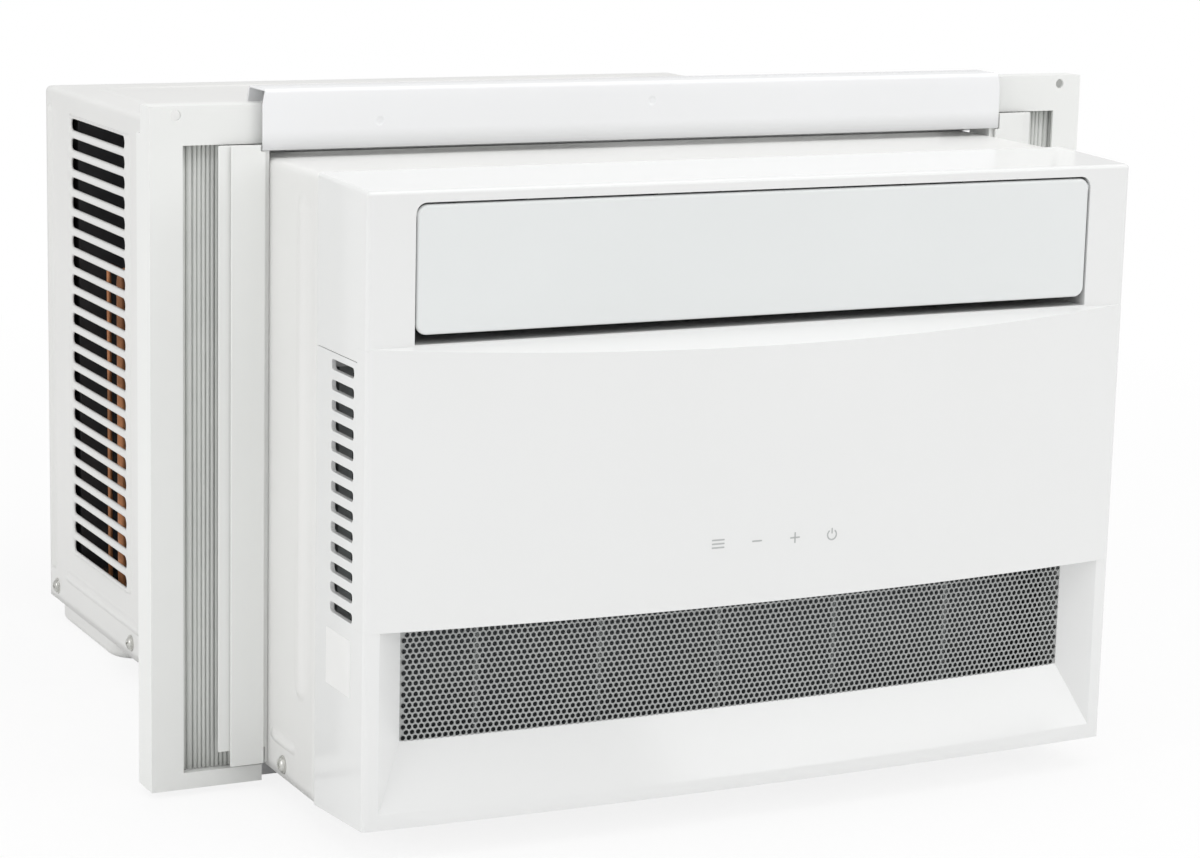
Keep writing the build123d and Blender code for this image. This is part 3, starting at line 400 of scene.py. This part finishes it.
# grid lines: those of the slots' cells in the field, close ones where beads and border rise
slot_quarter, cell_quarter = quarter_turn(SLOT_HALF, SLOT_RISE, SLOT_ROUND, SLOT_HALF + MARGIN,
                                          SLOT_PITCH / 2, SLOT_ALONG)
slot_middles = SLOT_TOP - SLOT_PITCH * np.arange(SLOTS)
field_low, field_high = slot_middles[-1] - SLOT_PITCH / 2, SLOT_TOP + SLOT_PITCH / 2
cell_us = np.unique(np.round(np.abs(cell_quarter[2:, 0]), 4))
cell_vs = np.unique(np.round(np.abs(cell_quarter[:4, 1]), 4))
before_field = lines(CAB_FRONT, (89, 9), (104, 1.25), (106, 1), (140, 8.5), (143, 1), (175, 10.7),
                     (181, 1.2), (195, 7), (205, 1.25), (FIELD_FRONT, 24.4))
after_field = lines(FIELD_REAR, (536, 4), (541, 1.25), (547, 3), (557, 1.25), (565.5, 4.3),
                    (571.5, 1), (CAB_REAR, 4.3))
y_lines = np.concatenate([before_field, SLOT_Y - cell_us, SLOT_Y + cell_us, after_field])
y_lines = np.unique(np.round(y_lines, 3))
below_field = lines(CAB_LOW, (12, 5.8), (22, 1), (field_low, 5))
above_field = lines(field_high, (FLAT_TOP, 1.6))
cell_rows = [(slot_middles[:, None] + sign * cell_vs).ravel() for sign in (-1, 1)]
z_lines = np.unique(np.round(np.concatenate([below_field, *cell_rows, above_field]), 3))
x_lines = lines(-FLAT_HALF, (-216, 5), (-204, 1.2), (204, 17), (216, 1.2), (FLAT_HALF, 5))

# section of the wrap: up the left side, over the top and down the right, with its normal
bend = np.radians(np.linspace(180, 90, 7))[1:-1]
bend_x, bend_z = np.cos(bend), np.sin(bend)
upright, level = np.ones(len(z_lines)), np.ones(len(x_lines))
fold_x = np.concatenate([-CAB_HALF * upright, CAB_CORNER * bend_x - FLAT_HALF, x_lines,
                         FLAT_HALF - CAB_CORNER * bend_x[::-1], CAB_HALF * upright])
fold_z = np.concatenate([z_lines, FLAT_TOP + CAB_CORNER * bend_z, CAB_TOP * level,
                         FLAT_TOP + CAB_CORNER * bend_z[::-1], z_lines[::-1]])
normal_x = np.concatenate([-upright, bend_x, 0 * level, -bend_x[::-1], upright])
normal_z = np.concatenate([0 * upright, bend_z, level, bend_z[::-1], 0 * upright])
on_side = np.abs(normal_x) > 0.999
raised = np.where(on_side[:, None], side_height(y_lines[None], fold_z[:, None]), 0)
raised = np.where(normal_z[:, None] > 0.999, top_height(fold_x[:, None], y_lines[None]), raised)
wrap = np.stack([fold_x[:, None] + normal_x[:, None] * raised, np.broadcast_to(y_lines, raised.shape),
                 fold_z[:, None] + normal_z[:, None] * raised], -1)
wrap[:, -1, 1] -= BACK_EASE

# back flange: the sheet turns in round the condenser's opening
rim_x, rim_z = np.clip(fold_x, -REAR_HALF, REAR_HALF), np.minimum(fold_z, REAR_TOP)
flange = []
for share, short in ((0.03, 0.25), (0.09, 0.0), (1.0, 0.0)):
    flange.append(np.stack([fold_x + (rim_x - fold_x) * share, np.full_like(fold_x, CAB_REAR - short),
                            fold_z + (rim_z - fold_z) * share], -1))
wrap = np.concatenate([wrap, np.stack(flange, 1)], 1)

# the field of slots is left out of the wrap and filled with one ring of quads round each slot
mid_z = (fold_z[:-1] + fold_z[1:]) / 2
mid_y = np.append((y_lines[:-1] + y_lines[1:]) / 2, [CAB_REAR] * len(flange))
in_field = (on_side[:-1] & on_side[1:] & (mid_z > field_low) & (mid_z < field_high))[:, None]
in_field = in_field & (np.abs(mid_y - SLOT_Y) < SLOT_HALF + MARGIN)[None]
cabinet_parts = [quads(wrap, ~in_field)]
share = np.asarray(SLOT_ROWS)[None, :, None]
cell = mirrored(slot_quarter)[:, None] * (1 - share) + mirrored(cell_quarter)[:, None] * share
for middle in slot_middles:
    y, z = SLOT_Y + cell[..., 0], middle + cell[..., 1]
    x = CAB_HALF + side_height(y, z)
    cabinet_parts.append(quads(np.stack([-x, y, z], -1)[::-1]))
    cabinet_parts.append(quads(np.stack([x, y, z], -1)))
cabinet = make_piece("cabinet_wrap", cabinet_parts, powder, "chassis", thickness=SHEET)
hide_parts("cabinet")

# ---- Cabinet screws --------------------------------------------------------------------
# Six screws, three to a side, hold the cabinet to the pan.  Head and washer are pressed in
# one piece with a cross recess, and are zinc plated.
SCREW_AT = ((123.9, 2.6), (401.7, 4.2), (563.0, 4.4))
WASHER_RADIUS, WASHER_RISE, DOME_RADIUS, DOME_RISE = 5.5, 0.8, 4.3, 2.5
CROSS_REACH, CROSS_HALF, CROSS_ROUND, CROSS_DEPTH, CROSS_SLOPE = 2.5, 0.55, 0.1, 1.7, 0.35
FIRST_TURN, NEXT_TURN = 0.4, 0.7        # radians; no two crosses of a side stand alike


def screw_head(radius, angle):
    """Height of the head: a flat washer whose rim drops off, a half ellipse of DOME_RISE on it,
    and a cross of two bars sunk by CROSS_DEPTH with sloping walls."""
    dome = DOME_RISE * np.sqrt(1 - np.clip(radius / DOME_RADIUS, 0, 1) ** 2)
    height = np.where(radius < WASHER_RADIUS - 0.15, WASHER_RISE, 0.0) + dome
    a, b = radius * np.cos(angle), radius * np.sin(angle)
    bars = np.minimum(rounded(a, b, CROSS_REACH, CROSS_HALF, CROSS_ROUND),
                      rounded(a, b, CROSS_HALF, CROSS_REACH, CROSS_ROUND))
    return height - CROSS_DEPTH * smooth(-bars / CROSS_SLOPE)


# rings from the middle out to the rim, and back to the middle underneath
rings = [0, 0.35, 0.6, 0.85, 1.1, 1.4, 1.7, 2.0, 2.25, 2.5, 2.8, 3.3, 3.8, 4.1, 4.3, 4.8, 5.3, 5.4,
         WASHER_RADIUS, WASHER_RADIUS, 0]
head_r, head_a = np.meshgrid(rings, np.linspace(0, 2 * np.pi, 49), indexing="ij")
head_h = screw_head(head_r, head_a)
head_h[-2:] = 0
screw_parts = []
for side in (-1, 1):
    for number, (y, z) in enumerate(SCREW_AT):
        turned = head_a + FIRST_TURN + NEXT_TURN * number
        head = np.stack([side * (CAB_HALF + head_h), y + head_r * np.cos(turned),
                         z + head_r * np.sin(turned)], -1)
        screw_parts.append(quads(head if side > 0 else head[:, ::-1]))
screws = make_piece("cabinet_screw_heads", screw_parts, zinc, "chassis")
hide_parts("cabinet_screws")

# ---- Sash rails ------------------------------------------------------------------------
# Two folded steel channels, top and bottom, sprayed a cooler white than the cabinet.  The
# window sash comes down behind the upper one; the lower one stands on the sill.
rail_paint = coated("rail_paint", (0.905, 0.91, 0.92), 0.22, mottle=0.010, patch=0.15,
                    grain=0.008, grain_size=1.1)
RAIL_HALF, RAIL_WALL = 245.5, 1.2
RAIL_FRONT, RAIL_BACK, RAIL_LOW = 147.0, 174.0, 356.0
RAIL_BEND, RAIL_BEND_Z = 2.3, 388.0     # the two bends at the top, and where they begin
FOOT_BEND, FOOT_END, FOOT_Z = 1.8, 192.0, 352.6
WINDOW_HALF, WINDOW_TOP = 220.0, 378.0  # opening in the back wall
TUCK, TUCK_Z, TUCK_RISE = 1.6, 384.0, 6.0           # ends draw in at the top by TUCK
DIMPLES = ((-174.6, 371), (0, 378.7))
DIMPLE_RADIUS, DIMPLE_DEPTH, DIMPLE_EASE = 2.6, 0.5, 0.8


def eased(node, width, material):
    """Welded copy of a CAD node with its edges rounded by a bevel of that width in mm.

    Triangles of one plane are joined first and concave faces split again, so that the bevel
    runs along real edges only."""
    source = frame["nodes"][node]
    weld = bmesh.new()
    weld.from_mesh(source.data)
    bmesh.ops.remove_doubles(weld, verts=weld.verts, dist=2e-6)
    bmesh.ops.dissolve_limit(weld, angle_limit=math.radians(0.15), verts=weld.verts, edges=weld.edges)
    bmesh.ops.connect_verts_concave(weld, faces=weld.faces)
    mesh = bpy.data.meshes.new(node + "_finished")
    weld.to_mesh(mesh)
    weld.free()
    mesh.shade_smooth()
    mesh.materials.append(material)
    piece = bpy.data.objects.new(node + "_finished", mesh)
    bpy.context.scene.collection.objects.link(piece)
    bevel = piece.modifiers.new("edges", "BEVEL")
    bevel.width = width * 0.001
    bevel.segments = 2
    bevel.limit_method = "ANGLE"
    bevel.angle_limit = math.radians(30)
    shade = piece.modifiers.new("shade", "WEIGHTED_NORMAL")
    shade.keep_sharp = True
    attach(piece, source["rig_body"])
    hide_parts(node)
    return piece


def corner(middle_y, middle_z, radius, start, end):
    """Arc of a fold in the (y, z) section, angles in degrees."""
    turn = np.radians(np.linspace(start, end, 6))
    return np.stack([middle_y + radius * np.cos(turn), middle_z + radius * np.sin(turn)], 1)


def drawn(x, section):
    """Grid of a (y, z) section drawn along the given x."""
    sheet = np.empty((len(x), len(section), 3))
    sheet[..., 0], sheet[..., 1:] = x[:, None], section
    return sheet


front_z = lines(RAIL_LOW, (367, 11), (382, 0.5), (RAIL_BEND_Z, 6))
section = np.concatenate([np.stack([np.full(len(front_z), RAIL_FRONT), front_z], 1),
                          corner(RAIL_FRONT + RAIL_BEND, RAIL_BEND_Z, RAIL_BEND, 180, 90),
                          corner(RAIL_BACK - RAIL_BEND, RAIL_BEND_Z, RAIL_BEND, 90, 0),
                          [[RAIL_BACK, WINDOW_TOP], [RAIL_BACK, RAIL_LOW]],
                          corner(RAIL_BACK + FOOT_BEND, FOOT_Z + FOOT_BEND, FOOT_BEND, 180, 270),
                          [[FOOT_END, FOOT_Z]]])
rail_x = lines(-RAIL_HALF, (1 - RAIL_HALF, 0.5), (-WINDOW_HALF, 12), (-178, 21), (-171, 0.5), (-4, 21),
               (4, 0.5), (WINDOW_HALF, 24), (RAIL_HALF - 1, 12), (RAIL_HALF, 0.5))
rail_sheet = drawn(rail_x, section)
in_front = section[:, 0] < RAIL_FRONT + 0.01
for dimple_x, dimple_z in DIMPLES:
    away = np.hypot(rail_x[:, None] - dimple_x, section[None, :, 1] - dimple_z)
    rail_sheet[..., 1] += in_front * DIMPLE_DEPTH * smooth((DIMPLE_RADIUS - away) / DIMPLE_EASE)
rail_sheet[..., 0] *= 1 - TUCK / RAIL_HALF * smooth((section[:, 1] - TUCK_Z) / TUCK_RISE)
middle_x, (middle_y, middle_z) = (rail_x[:-1] + rail_x[1:]) / 2, (section[:-1] + section[1:]).T / 2
in_window = (middle_y > RAIL_BACK - 0.1) & (middle_z > RAIL_LOW) & (middle_z < WINDOW_TOP)
window = (np.abs(middle_x) < WINDOW_HALF)[:, None] & in_window[None]
rail = make_piece("top_rail_sheet", [quads(rail_sheet, ~window)], rail_paint, "chassis",
                  thickness=RAIL_WALL)
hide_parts("top_rail")
eased("bottom_rail", 0.3, rail_paint)
paint(zinc, "small_screws")

# ---- Curtain guides and frames ---------------------------------------------------------
# White extrusions screwed to the cabinet's sides, and moulded frames that slide in them and
# are pulled out to fill the window.  Slightly warm white with a fine spark-eroded grain.
curtain_white = coated("curtain_moulding", (0.87, 0.878, 0.862), 0.38, mottle=0.010, patch=0.09,
                       grain=0.010, grain_size=0.5)
for side in ("left", "right"):
    eased("curtain_guide_" + side, 0.3, curtain_white)
    eased("curtain_frame_" + side, 0.5, curtain_white)

# ---- Bellows ---------------------------------------------------------------------------
# A sheet of soft grey vinyl in sixteen pleats, welded flat into the guide at one edge and
# into the frame at the other.  The folds are round and press against each other, with only a
# thin dark valley between.  The real one opens like an accordion as the frame slides out; this one is
# built once and rides on no body.
vinyl = coated("bellows_vinyl", (0.74, 0.755, 0.73), 0.42, mottle=0.02, patch=0.03, grain=0.006)
PLEATS, WIDE_PLEATS, WIDENED = 16, 3, 1.5           # the outermost three are half as wide again
WELD_START, FOLD_START, FOLD_END, WELD_END = 242.2, 249.0, 295.0, 308.0
CREST_Y, VALLEY_Y, WELD_Y, WELD_GAP = 157.5, 163.2, 165.2, 0.4
CREST_GAP, VALLEY_GAP = 0.12, 0.1       # from the middle of a valley to its walls and its foot
VINYL_LOW, VINYL_HIGH = 10.3, 373.9     # above the frame's lower end
VINYL_WALL, VINYL_ROWS = 0.25, 8
widths = np.where(np.arange(PLEATS) < PLEATS - WIDE_PLEATS, 1.0, WIDENED)
widths = widths / widths.sum() * (FOLD_END - FOLD_START)
turn = np.radians(np.linspace(0, 180, 9))
pleats = [[WELD_START, WELD_Y], [FOLD_START - WELD_GAP, WELD_Y]]
start = FOLD_START
for width in widths:
    # crest: half a circle; from its ends the sheet falls straight into the valleys
    reach = width / 2 - CREST_GAP
    crest = [start + width / 2 - reach * np.cos(turn), CREST_Y + reach * (1 - np.sin(turn))]
    pleats += [[start + VALLEY_GAP, VALLEY_Y], *np.stack(crest, 1),
               [start + width - VALLEY_GAP, VALLEY_Y]]
    start += width
pleats = np.array(pleats + [[FOLD_END + WELD_GAP, WELD_Y], [WELD_END, WELD_Y]])
for side, sign, low in (("left", -1, -15.1), ("right", 1, -9.1)):
    sheet = np.empty((len(pleats), VINYL_ROWS, 3))
    sheet[..., 0], sheet[..., 1] = sign * pleats[:, :1], pleats[:, 1:]
    sheet[..., 2] = np.linspace(low + VINYL_LOW, low + VINYL_HIGH, VINYL_ROWS)
    sheet = quads(sheet if sign > 0 else sheet[::-1])
    bellows = make_piece("bellows_folds_" + side, [sheet], vinyl, None,
                         thickness=VINYL_WALL)
    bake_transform(bellows)
    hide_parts("bellows_" + side)

# ---- Air filter ------------------------------------------------------------------------
# A fine dark net, woven of threads 1.2 mm apart and moulded into a grey frame, which slides
# out to the right for washing.
# NET_HOLE_SHADE is painted shade: the net's holes are coloured near black instead of being open
THREAD, NET_HOLE_SHADE = (0.16, 0.17, 0.18), (0.015, 0.016, 0.018)
THREAD_PITCH = 0.0012                   # metres


def netting(name):
    """Woven net: two sets of threads, light where either runs, and painted shade, near black, in the
    holes.
    """
    material = coated(name, THREAD, 0.8, mottle=0.1)
    tree = material.node_tree
    either = tree.nodes.new("ShaderNodeMath")
    either.operation = "MAXIMUM"
    for socket, direction in enumerate(("X", "Z")):
        tree.links.new(bands(tree, direction, THREAD_PITCH), either.inputs[socket])
    paint_shade_between(tree, NET_HOLE_SHADE, either.outputs[0])
    return material


paint(coated("filter_moulding", (0.42, 0.44, 0.44), 0.5, mottle=0.04, grain=0.02), "filter_frame")
paint(netting("filter_netting"), "filter_net")

# ---- Bezel -----------------------------------------------------------------------------
# The room side is three glossy white mouldings: the upper frame with the air duct, the lower
# frame with the side vents and the bevelled intake, and the bowed cover that snaps between
# them.  Every edge has the small radius that lets it leave its mould.
gloss_white = coated("gloss_white", (0.84, 0.845, 0.84), 0.12, mottle=0.006, patch=0.2,
                     grain=0.004, grain_size=6)
SEAM_GAP = 0.45                         # the lower frame stops this short of the upper one
for node, ease in (("upper_front_frame", 0.5), ("lower_front_grille", 0.5),
                   ("control_panel_cover", 0.6)):
    moulding = eased(node, ease, gloss_white)
    if node == "lower_front_grille":
        # its upper rim is lowered, which opens the joint line
        places = np.empty(3 * len(moulding.data.vertices), np.float32)
        moulding.data.vertices.foreach_get("co", places)
        rim = np.abs(places[2::3] - (BASE_Z + SEAM_Z * 0.001)) < 5e-5
        places[2::3][rim] -= SEAM_GAP * 0.001
        moulding.data.vertices.foreach_set("co", places)
paint(rubber, "cord_inlet")

# ---- Sticker and touch marks -----------------------------------------------------------
# A blank white sticker sits under the side vents.  The keys are printed on the cover in pale
# grey, right of its middle: three bars for the mode, a minus, a plus and a power sign.
BEZEL_HALF, COVER_BOW = 242.0, 16.2
PRINT, KEY_STROKE, POWER_STROKE = 0.05, 0.9, 0.85   # height of the print, widths of its strokes
MODE_KEY, MINUS_KEY, PLUS_KEY, POWER_KEY = (-35.4, 147.8), (-10.7, 147.5), (13.9, 147.4), (38.3, 147.0)
MODE_LONG, MODE_PITCH, SIGN_LONG = 8.0, 2.2, 6.4
POWER_RADIUS, POWER_GAP, POWER_BAR, POWER_BAR_RISE = 2.9, 70, 3.4, 2.3
LABEL_Y, LABEL_Z, LABEL_HALF_Y, LABEL_HALF_Z = 36.75, 87, 17.75, 16.0
LABEL_ROUND, LABEL_RISE = 1.2, 0.12


def pad(half_u, half_v, radius, height):
    """Rings (u, v, w) of a low flat pad with round corners: foot, rim and middle."""
    loop = mirrored(quarter_turn(half_u, half_v, radius, half_u, half_v, 4)[0])
    rings = [(loop, 0.0), (loop, height), (loop * 0, height)]
    return np.stack([np.column_stack([ring, np.full(len(ring), w)]) for ring, w in rings], 1)


def on_cover(x, z, height):
    """Printed (x, z, height) points on the bowed cover, y = -bow (1 - (x / half)^2) - height."""
    y = -COVER_BOW * (1 - (x / BEZEL_HALF) ** 2) - height
    return quads(np.stack([x, y, z], -1)[:, ::-1])


def stroke(x, z, length, width, degrees=0.0):
    """Printed bar with round ends, turned by degrees.

    Its ends' radius stays just under half the width, so that no two points of a pad meet."""
    u, v, w = np.moveaxis(pad(length / 2, width / 2, width / 2 * 0.98, PRINT), -1, 0)
    c, s = math.cos(math.radians(degrees)), math.sin(math.radians(degrees))
    return on_cover(x + u * c - v * s, z + u * s + v * c, w)


def hoop(x, z, radius, width, gap):
    """Printed ring with an opening of gap degrees at its top."""
    around = np.radians(np.linspace(90 + gap / 2, 450 - gap / 2, 33))[:, None]
    across = radius + np.array([-width / 2, -width / 2, width / 2, width / 2])
    height = np.broadcast_to([0, PRINT, PRINT, 0], (33, 4))
    return on_cover(x + across * np.cos(around), z + across * np.sin(around), height)


marks = [stroke(MODE_KEY[0], MODE_KEY[1] + MODE_PITCH * k, MODE_LONG, KEY_STROKE) for k in (-1, 0, 1)]
marks += [stroke(*MINUS_KEY, SIGN_LONG, KEY_STROKE)]
marks += [stroke(*PLUS_KEY, SIGN_LONG, KEY_STROKE, turned) for turned in (0, 90)]
marks += [hoop(*POWER_KEY, POWER_RADIUS, POWER_STROKE, POWER_GAP),
          stroke(POWER_KEY[0], POWER_KEY[1] + POWER_BAR_RISE, POWER_BAR, POWER_STROKE, 90)]
print_grey = coated("key_print", (0.47, 0.48, 0.48), 0.35, mottle=0.03, patch=0.01)
make_piece("touch_marks", marks, print_grey, "chassis")
label = pad(LABEL_HALF_Y, LABEL_HALF_Z, LABEL_ROUND, LABEL_RISE)
label = np.stack([-BEZEL_HALF - label[..., 2], LABEL_Y + label[..., 0], LABEL_Z + label[..., 1]], -1)
sticker = coated("sticker_paper", (0.88, 0.88, 0.87), 0.32, mottle=0.01, patch=0.02)
make_piece("side_sticker", [quads(label[:, ::-1])], sticker, "chassis")

# ---- Discharge flap and vanes ----------------------------------------------------------
# A satin white moulding that hangs on two pins at its top edge and swings out; the edge turns
# back into the opening.  Ten dark blades behind it steer the air, five to a tie bar.
flap_white = coated("flap_satin", (0.80, 0.82, 0.817), 0.25, mottle=0.008, patch=0.15,
                    grain=0.006, grain_size=0.6)
eased("discharge_flap", 0.5, flap_white)
LIP_HALF, LIP_TOP, LIP_WALL = 206.0, 342.6, 1.0
LIP_FRONT, LIP_BEND_Y, LIP_BEND = 2.2, 6.6, 1.6     # the edge runs back flat, then bends down
bend = corner(LIP_BEND_Y, LIP_TOP - LIP_BEND, LIP_BEND, 90, 0)
lip = drawn(np.linspace(-LIP_HALF, LIP_HALF, 9), np.concatenate([[[LIP_FRONT, LIP_TOP]], bend]))
make_piece("flap_top_return", [quads(lip)], flap_white, "flap", thickness=LIP_WALL)
vane_grey = coated("vane_moulding", (0.10, 0.105, 0.108), 0.5, mottle=0.05, grain=0.02)
paint(vane_grey, "vane_link_left", "vane_link_right", *["air_vane_%02d" % n for n in range(1, 11)])

# ---- Intake mesh -----------------------------------------------------------------------
# Thin sheet, punched in a close hexagonal pattern and rolled to follow the bow of the front.
# Holes are 2.7 mm wide in rows about 3 mm apart, with a plain border.
FRAME_BOW, MESH_DEPTH = 8.8, 13.8
BOW_RADIUS = (BEZEL_HALF ** 2 + FRAME_BOW ** 2) / (2 * FRAME_BOW)
MESH_RADIUS, BOW_CENTRE = BOW_RADIUS - MESH_DEPTH, BOW_RADIUS - FRAME_BOW
MESH_HALF, MESH_LOW, MESH_TOP, MESH_WALL, PLAIN = 218.0, 43.4, 111.5, 0.6, 2.5
HOLE_RADIUS, HOLE_COLUMNS, HOLE_ROWS, FIRST_ROW = 1.37, 121, 21, 47.3
HOLE_PITCH = 2 * (MESH_HALF - PLAIN) / (HOLE_COLUMNS + 0.5)
ROW_PITCH = HOLE_PITCH * math.sqrt(3) / 2
TIP = HOLE_PITCH / math.sqrt(3)         # from a cell's middle to its corners; also its side
HOLE_POINTS = 13                        # round a hole, the last on the first


def roll(flat):
    """Bends a flat (along, height) sheet round the bow: along becomes an angle about a far axis."""
    angle = flat[..., 0] / MESH_RADIUS
    y = BOW_CENTRE - MESH_RADIUS * np.cos(angle)
    return np.stack([MESH_RADIUS * np.sin(angle), y, flat[..., 1]], -1)


def strip(inner, outer):
    """Quads between two rows of flat points, rolled onto the bow."""
    return quads(roll(np.stack([inner, outer], 1)))


# cells: the hole's circle joined to a hexagon whose corners lie on every second point
turn = np.radians(np.linspace(0, 360, HOLE_POINTS))
around = np.stack([np.cos(turn), np.sin(turn)], -1)
reach = np.where(np.arange(HOLE_POINTS) % 2 == 1, TIP, HOLE_PITCH / 2)
column, row = np.meshgrid(np.arange(HOLE_COLUMNS), np.arange(HOLE_ROWS), indexing="ij")
middle_u = (column + 0.5 * (row % 2) - (HOLE_COLUMNS - 0.5) / 2) * HOLE_PITCH
middle_v = FIRST_ROW + row * ROW_PITCH
middles = np.stack([middle_u, middle_v], -1).reshape(-1, 1, 2)
cells = np.stack([around * HOLE_RADIUS + middles, around * reach[:, None] + middles], 1)
first = np.arange(len(middles))[:, None] * (2 * HOLE_POINTS) + np.arange(HOLE_POINTS - 1)
cell_faces = np.stack([first, first + 1, first + HOLE_POINTS + 1, first + HOLE_POINTS], -1)
mesh_parts = [(roll(cells).reshape(-1, 3), cell_faces.reshape(-1, 4))]

# borders left and right: from the zigzag ends of the rows out to a straight edge
for end, out in ((0, -1), (-1, 1)):
    rows_u = np.repeat((middle_u[end] + out * HOLE_PITCH / 2)[:, None], 3, 1)
    rows_v = middle_v[end][:, None] + np.array([-TIP / 2, 0, TIP / 2])
    gap_u = np.append((rows_u[:-1, 0] + rows_u[1:, 0]) / 2, 0)
    gap_v = np.append((rows_v[:-1, 2] + rows_v[1:, 0]) / 2, 0)
    line = np.stack([np.column_stack([rows_u, gap_u]).ravel()[:-1],
                     np.column_stack([rows_v, gap_v]).ravel()[:-1]], -1)[::-out]
    mesh_parts.append(strip(line, np.stack([np.full(len(line), out * MESH_HALF), line[:, 1]], -1)))

# borders below and above: along the tips of the first and the last row
for end, out, limit in ((0, -1, MESH_LOW), (-1, 1, MESH_TOP)):
    us = middle_u[:, end][:, None] + np.array([-0.5, -0.25, 0, 0.25]) * HOLE_PITCH
    vs = middle_v[:, end][:, None] + out * TIP * np.array([0.5, 0.75, 1, 0.75])
    us = np.concatenate([[-MESH_HALF], us.ravel(), [middle_u[-1, end] + HOLE_PITCH / 2, MESH_HALF]])
    vs = np.append(vs.ravel(), middle_v[-1, end] + out * TIP / 2)
    vs = np.concatenate([[vs[0]], vs, [vs[-1]]])
    line = np.stack([us, vs], -1)[::out]
    mesh_parts.append(strip(line, np.stack([line[:, 0], np.full(len(line), limit)], -1)))
punched = coated("punched_sheet", (0.40, 0.41, 0.405), 0.38, metallic=0.35, mottle=0.03, grain=0.01)
mesh_sheet = make_piece("intake_mesh_punched", mesh_parts, punched, "chassis",
                        thickness=MESH_WALL)
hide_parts("intake_mesh")

# ---- Room ------------------------------------------------------------------------------
# A pale floor that shows the shadow near the object and turns plain white FADE_END away, a
# soft lamp overhead, one on the left and one in front on the right.
AMBIENT = 0.66
FLOOR_HALF, FADE_START, FADE_END = 30, 0.5, 1.5     # metres
FLOOR_GLOW = 0.85                       # share of its own light near the object
world = bpy.data.worlds.new("pale_room")
bpy.context.scene.world = world
world.use_nodes = True
room = world.node_tree
ambient = room.nodes["Background"]
ambient.inputs["Color"].default_value = (1.0, 1.0, 1.0, 1)
ambient.inputs["Strength"].default_value = AMBIENT
white = room.nodes.new("ShaderNodeBackground")
white.inputs["Color"].default_value = (1, 1, 1, 1)
white.inputs["Strength"].default_value = 1.0
seen = room.nodes.new("ShaderNodeLightPath")
either = room.nodes.new("ShaderNodeMath")
either.operation = "MAXIMUM"
room.links.new(seen.outputs["Is Camera Ray"], either.inputs[0])
room.links.new(seen.outputs["Is Transmission Ray"], either.inputs[1])
both = room.nodes.new("ShaderNodeMixShader")
room.links.new(either.outputs[0], both.inputs[0])
room.links.new(ambient.outputs[0], both.inputs[1])
room.links.new(white.outputs[0], both.inputs[2])
room.links.new(both.outputs[0], room.nodes["World Output"].inputs["Surface"])

floor_mesh = bpy.data.meshes.new("floor")
floor_mesh.from_pydata([(-FLOOR_HALF, -FLOOR_HALF, 0), (FLOOR_HALF, -FLOOR_HALF, 0),
                        (FLOOR_HALF, FLOOR_HALF, 0), (-FLOOR_HALF, FLOOR_HALF, 0)], [], [(0, 1, 2, 3)])
floor = bpy.data.objects.new("floor", floor_mesh)
bpy.context.scene.collection.objects.link(floor)
floor_paint = bpy.data.materials.new("pale_floor")
floor_paint.use_nodes = True
tree = floor_paint.node_tree
matt = tree.nodes["Principled BSDF"]
matt.inputs["Base Color"].default_value = (0.9, 0.9, 0.9, 1)
matt.inputs["Roughness"].default_value = 0.9
glow = tree.nodes.new("ShaderNodeEmission")
glow.inputs["Color"].default_value = (1, 1, 1, 1)
path = tree.nodes.new("ShaderNodeLightPath")
spot = tree.nodes.new("ShaderNodeTexCoord")
radius = tree.nodes.new("ShaderNodeVectorMath")
radius.operation = "LENGTH"
tree.links.new(spot.outputs["Object"], radius.inputs[0])
fade = tree.nodes.new("ShaderNodeMapRange")
for socket, value in (("From Min", FADE_START), ("From Max", FADE_END),
                      ("To Min", FLOOR_GLOW), ("To Max", 1.0)):
    fade.inputs[socket].default_value = value
tree.links.new(radius.outputs["Value"], fade.inputs["Value"])
lift = tree.nodes.new("ShaderNodeMath")
lift.operation = "MULTIPLY"
tree.links.new(fade.outputs["Result"], lift.inputs[1])
tree.links.new(path.outputs["Is Camera Ray"], lift.inputs[0])
mix = tree.nodes.new("ShaderNodeMixShader")
tree.links.new(lift.outputs[0], mix.inputs[0])
tree.links.new(matt.outputs[0], mix.inputs[1])
tree.links.new(glow.outputs[0], mix.inputs[2])
tree.links.new(mix.outputs[0], tree.nodes["Material Output"].inputs["Surface"])
floor_mesh.materials.append(floor_paint)

for name, place, aim, size, power in (("overhead", (0.3, -0.5, 2.6), (0, 0, 0.2), 2.4, 27),
                                      ("left", (-2.8, -0.6, 1.4), (0, 0.1, 0.2), 1.8, 19),
                                      ("front_right", (2.0, -2.8, 1.5), (0, 0, 0.2), 1.6, 16)):
    lamp = bpy.data.lights.new(name, "AREA")
    lamp.size = size
    lamp.energy = power
    holder = bpy.data.objects.new(name, lamp)
    holder.location = place
    holder.rotation_euler = (Vector(aim) - Vector(place)).to_track_quat("-Z", "Y").to_euler()
    bpy.context.scene.collection.objects.link(holder)

# the camera: where it stands, the way it looks and its upward edge, in metres
EYE = Vector((-0.87998, -1.82934, 0.58529))
AIM = Vector((0.43971, 0.87585, -0.19885))
UP = Vector((0.067125, 0.188741, 0.979730))
LENS = 96.4
across = AIM.cross(UP)
camera = bpy.data.objects.new("camera", bpy.data.cameras.new("camera"))
camera.matrix_world = Matrix(((across.x, UP.x, -AIM.x, EYE.x), (across.y, UP.y, -AIM.y, EYE.y),
                              (across.z, UP.z, -AIM.z, EYE.z), (0, 0, 0, 1)))
camera.data.lens = LENS
bpy.context.scene.collection.objects.link(camera)
bpy.context.scene.camera = camera
bpy.context.scene.view_settings.view_transform = "Standard"
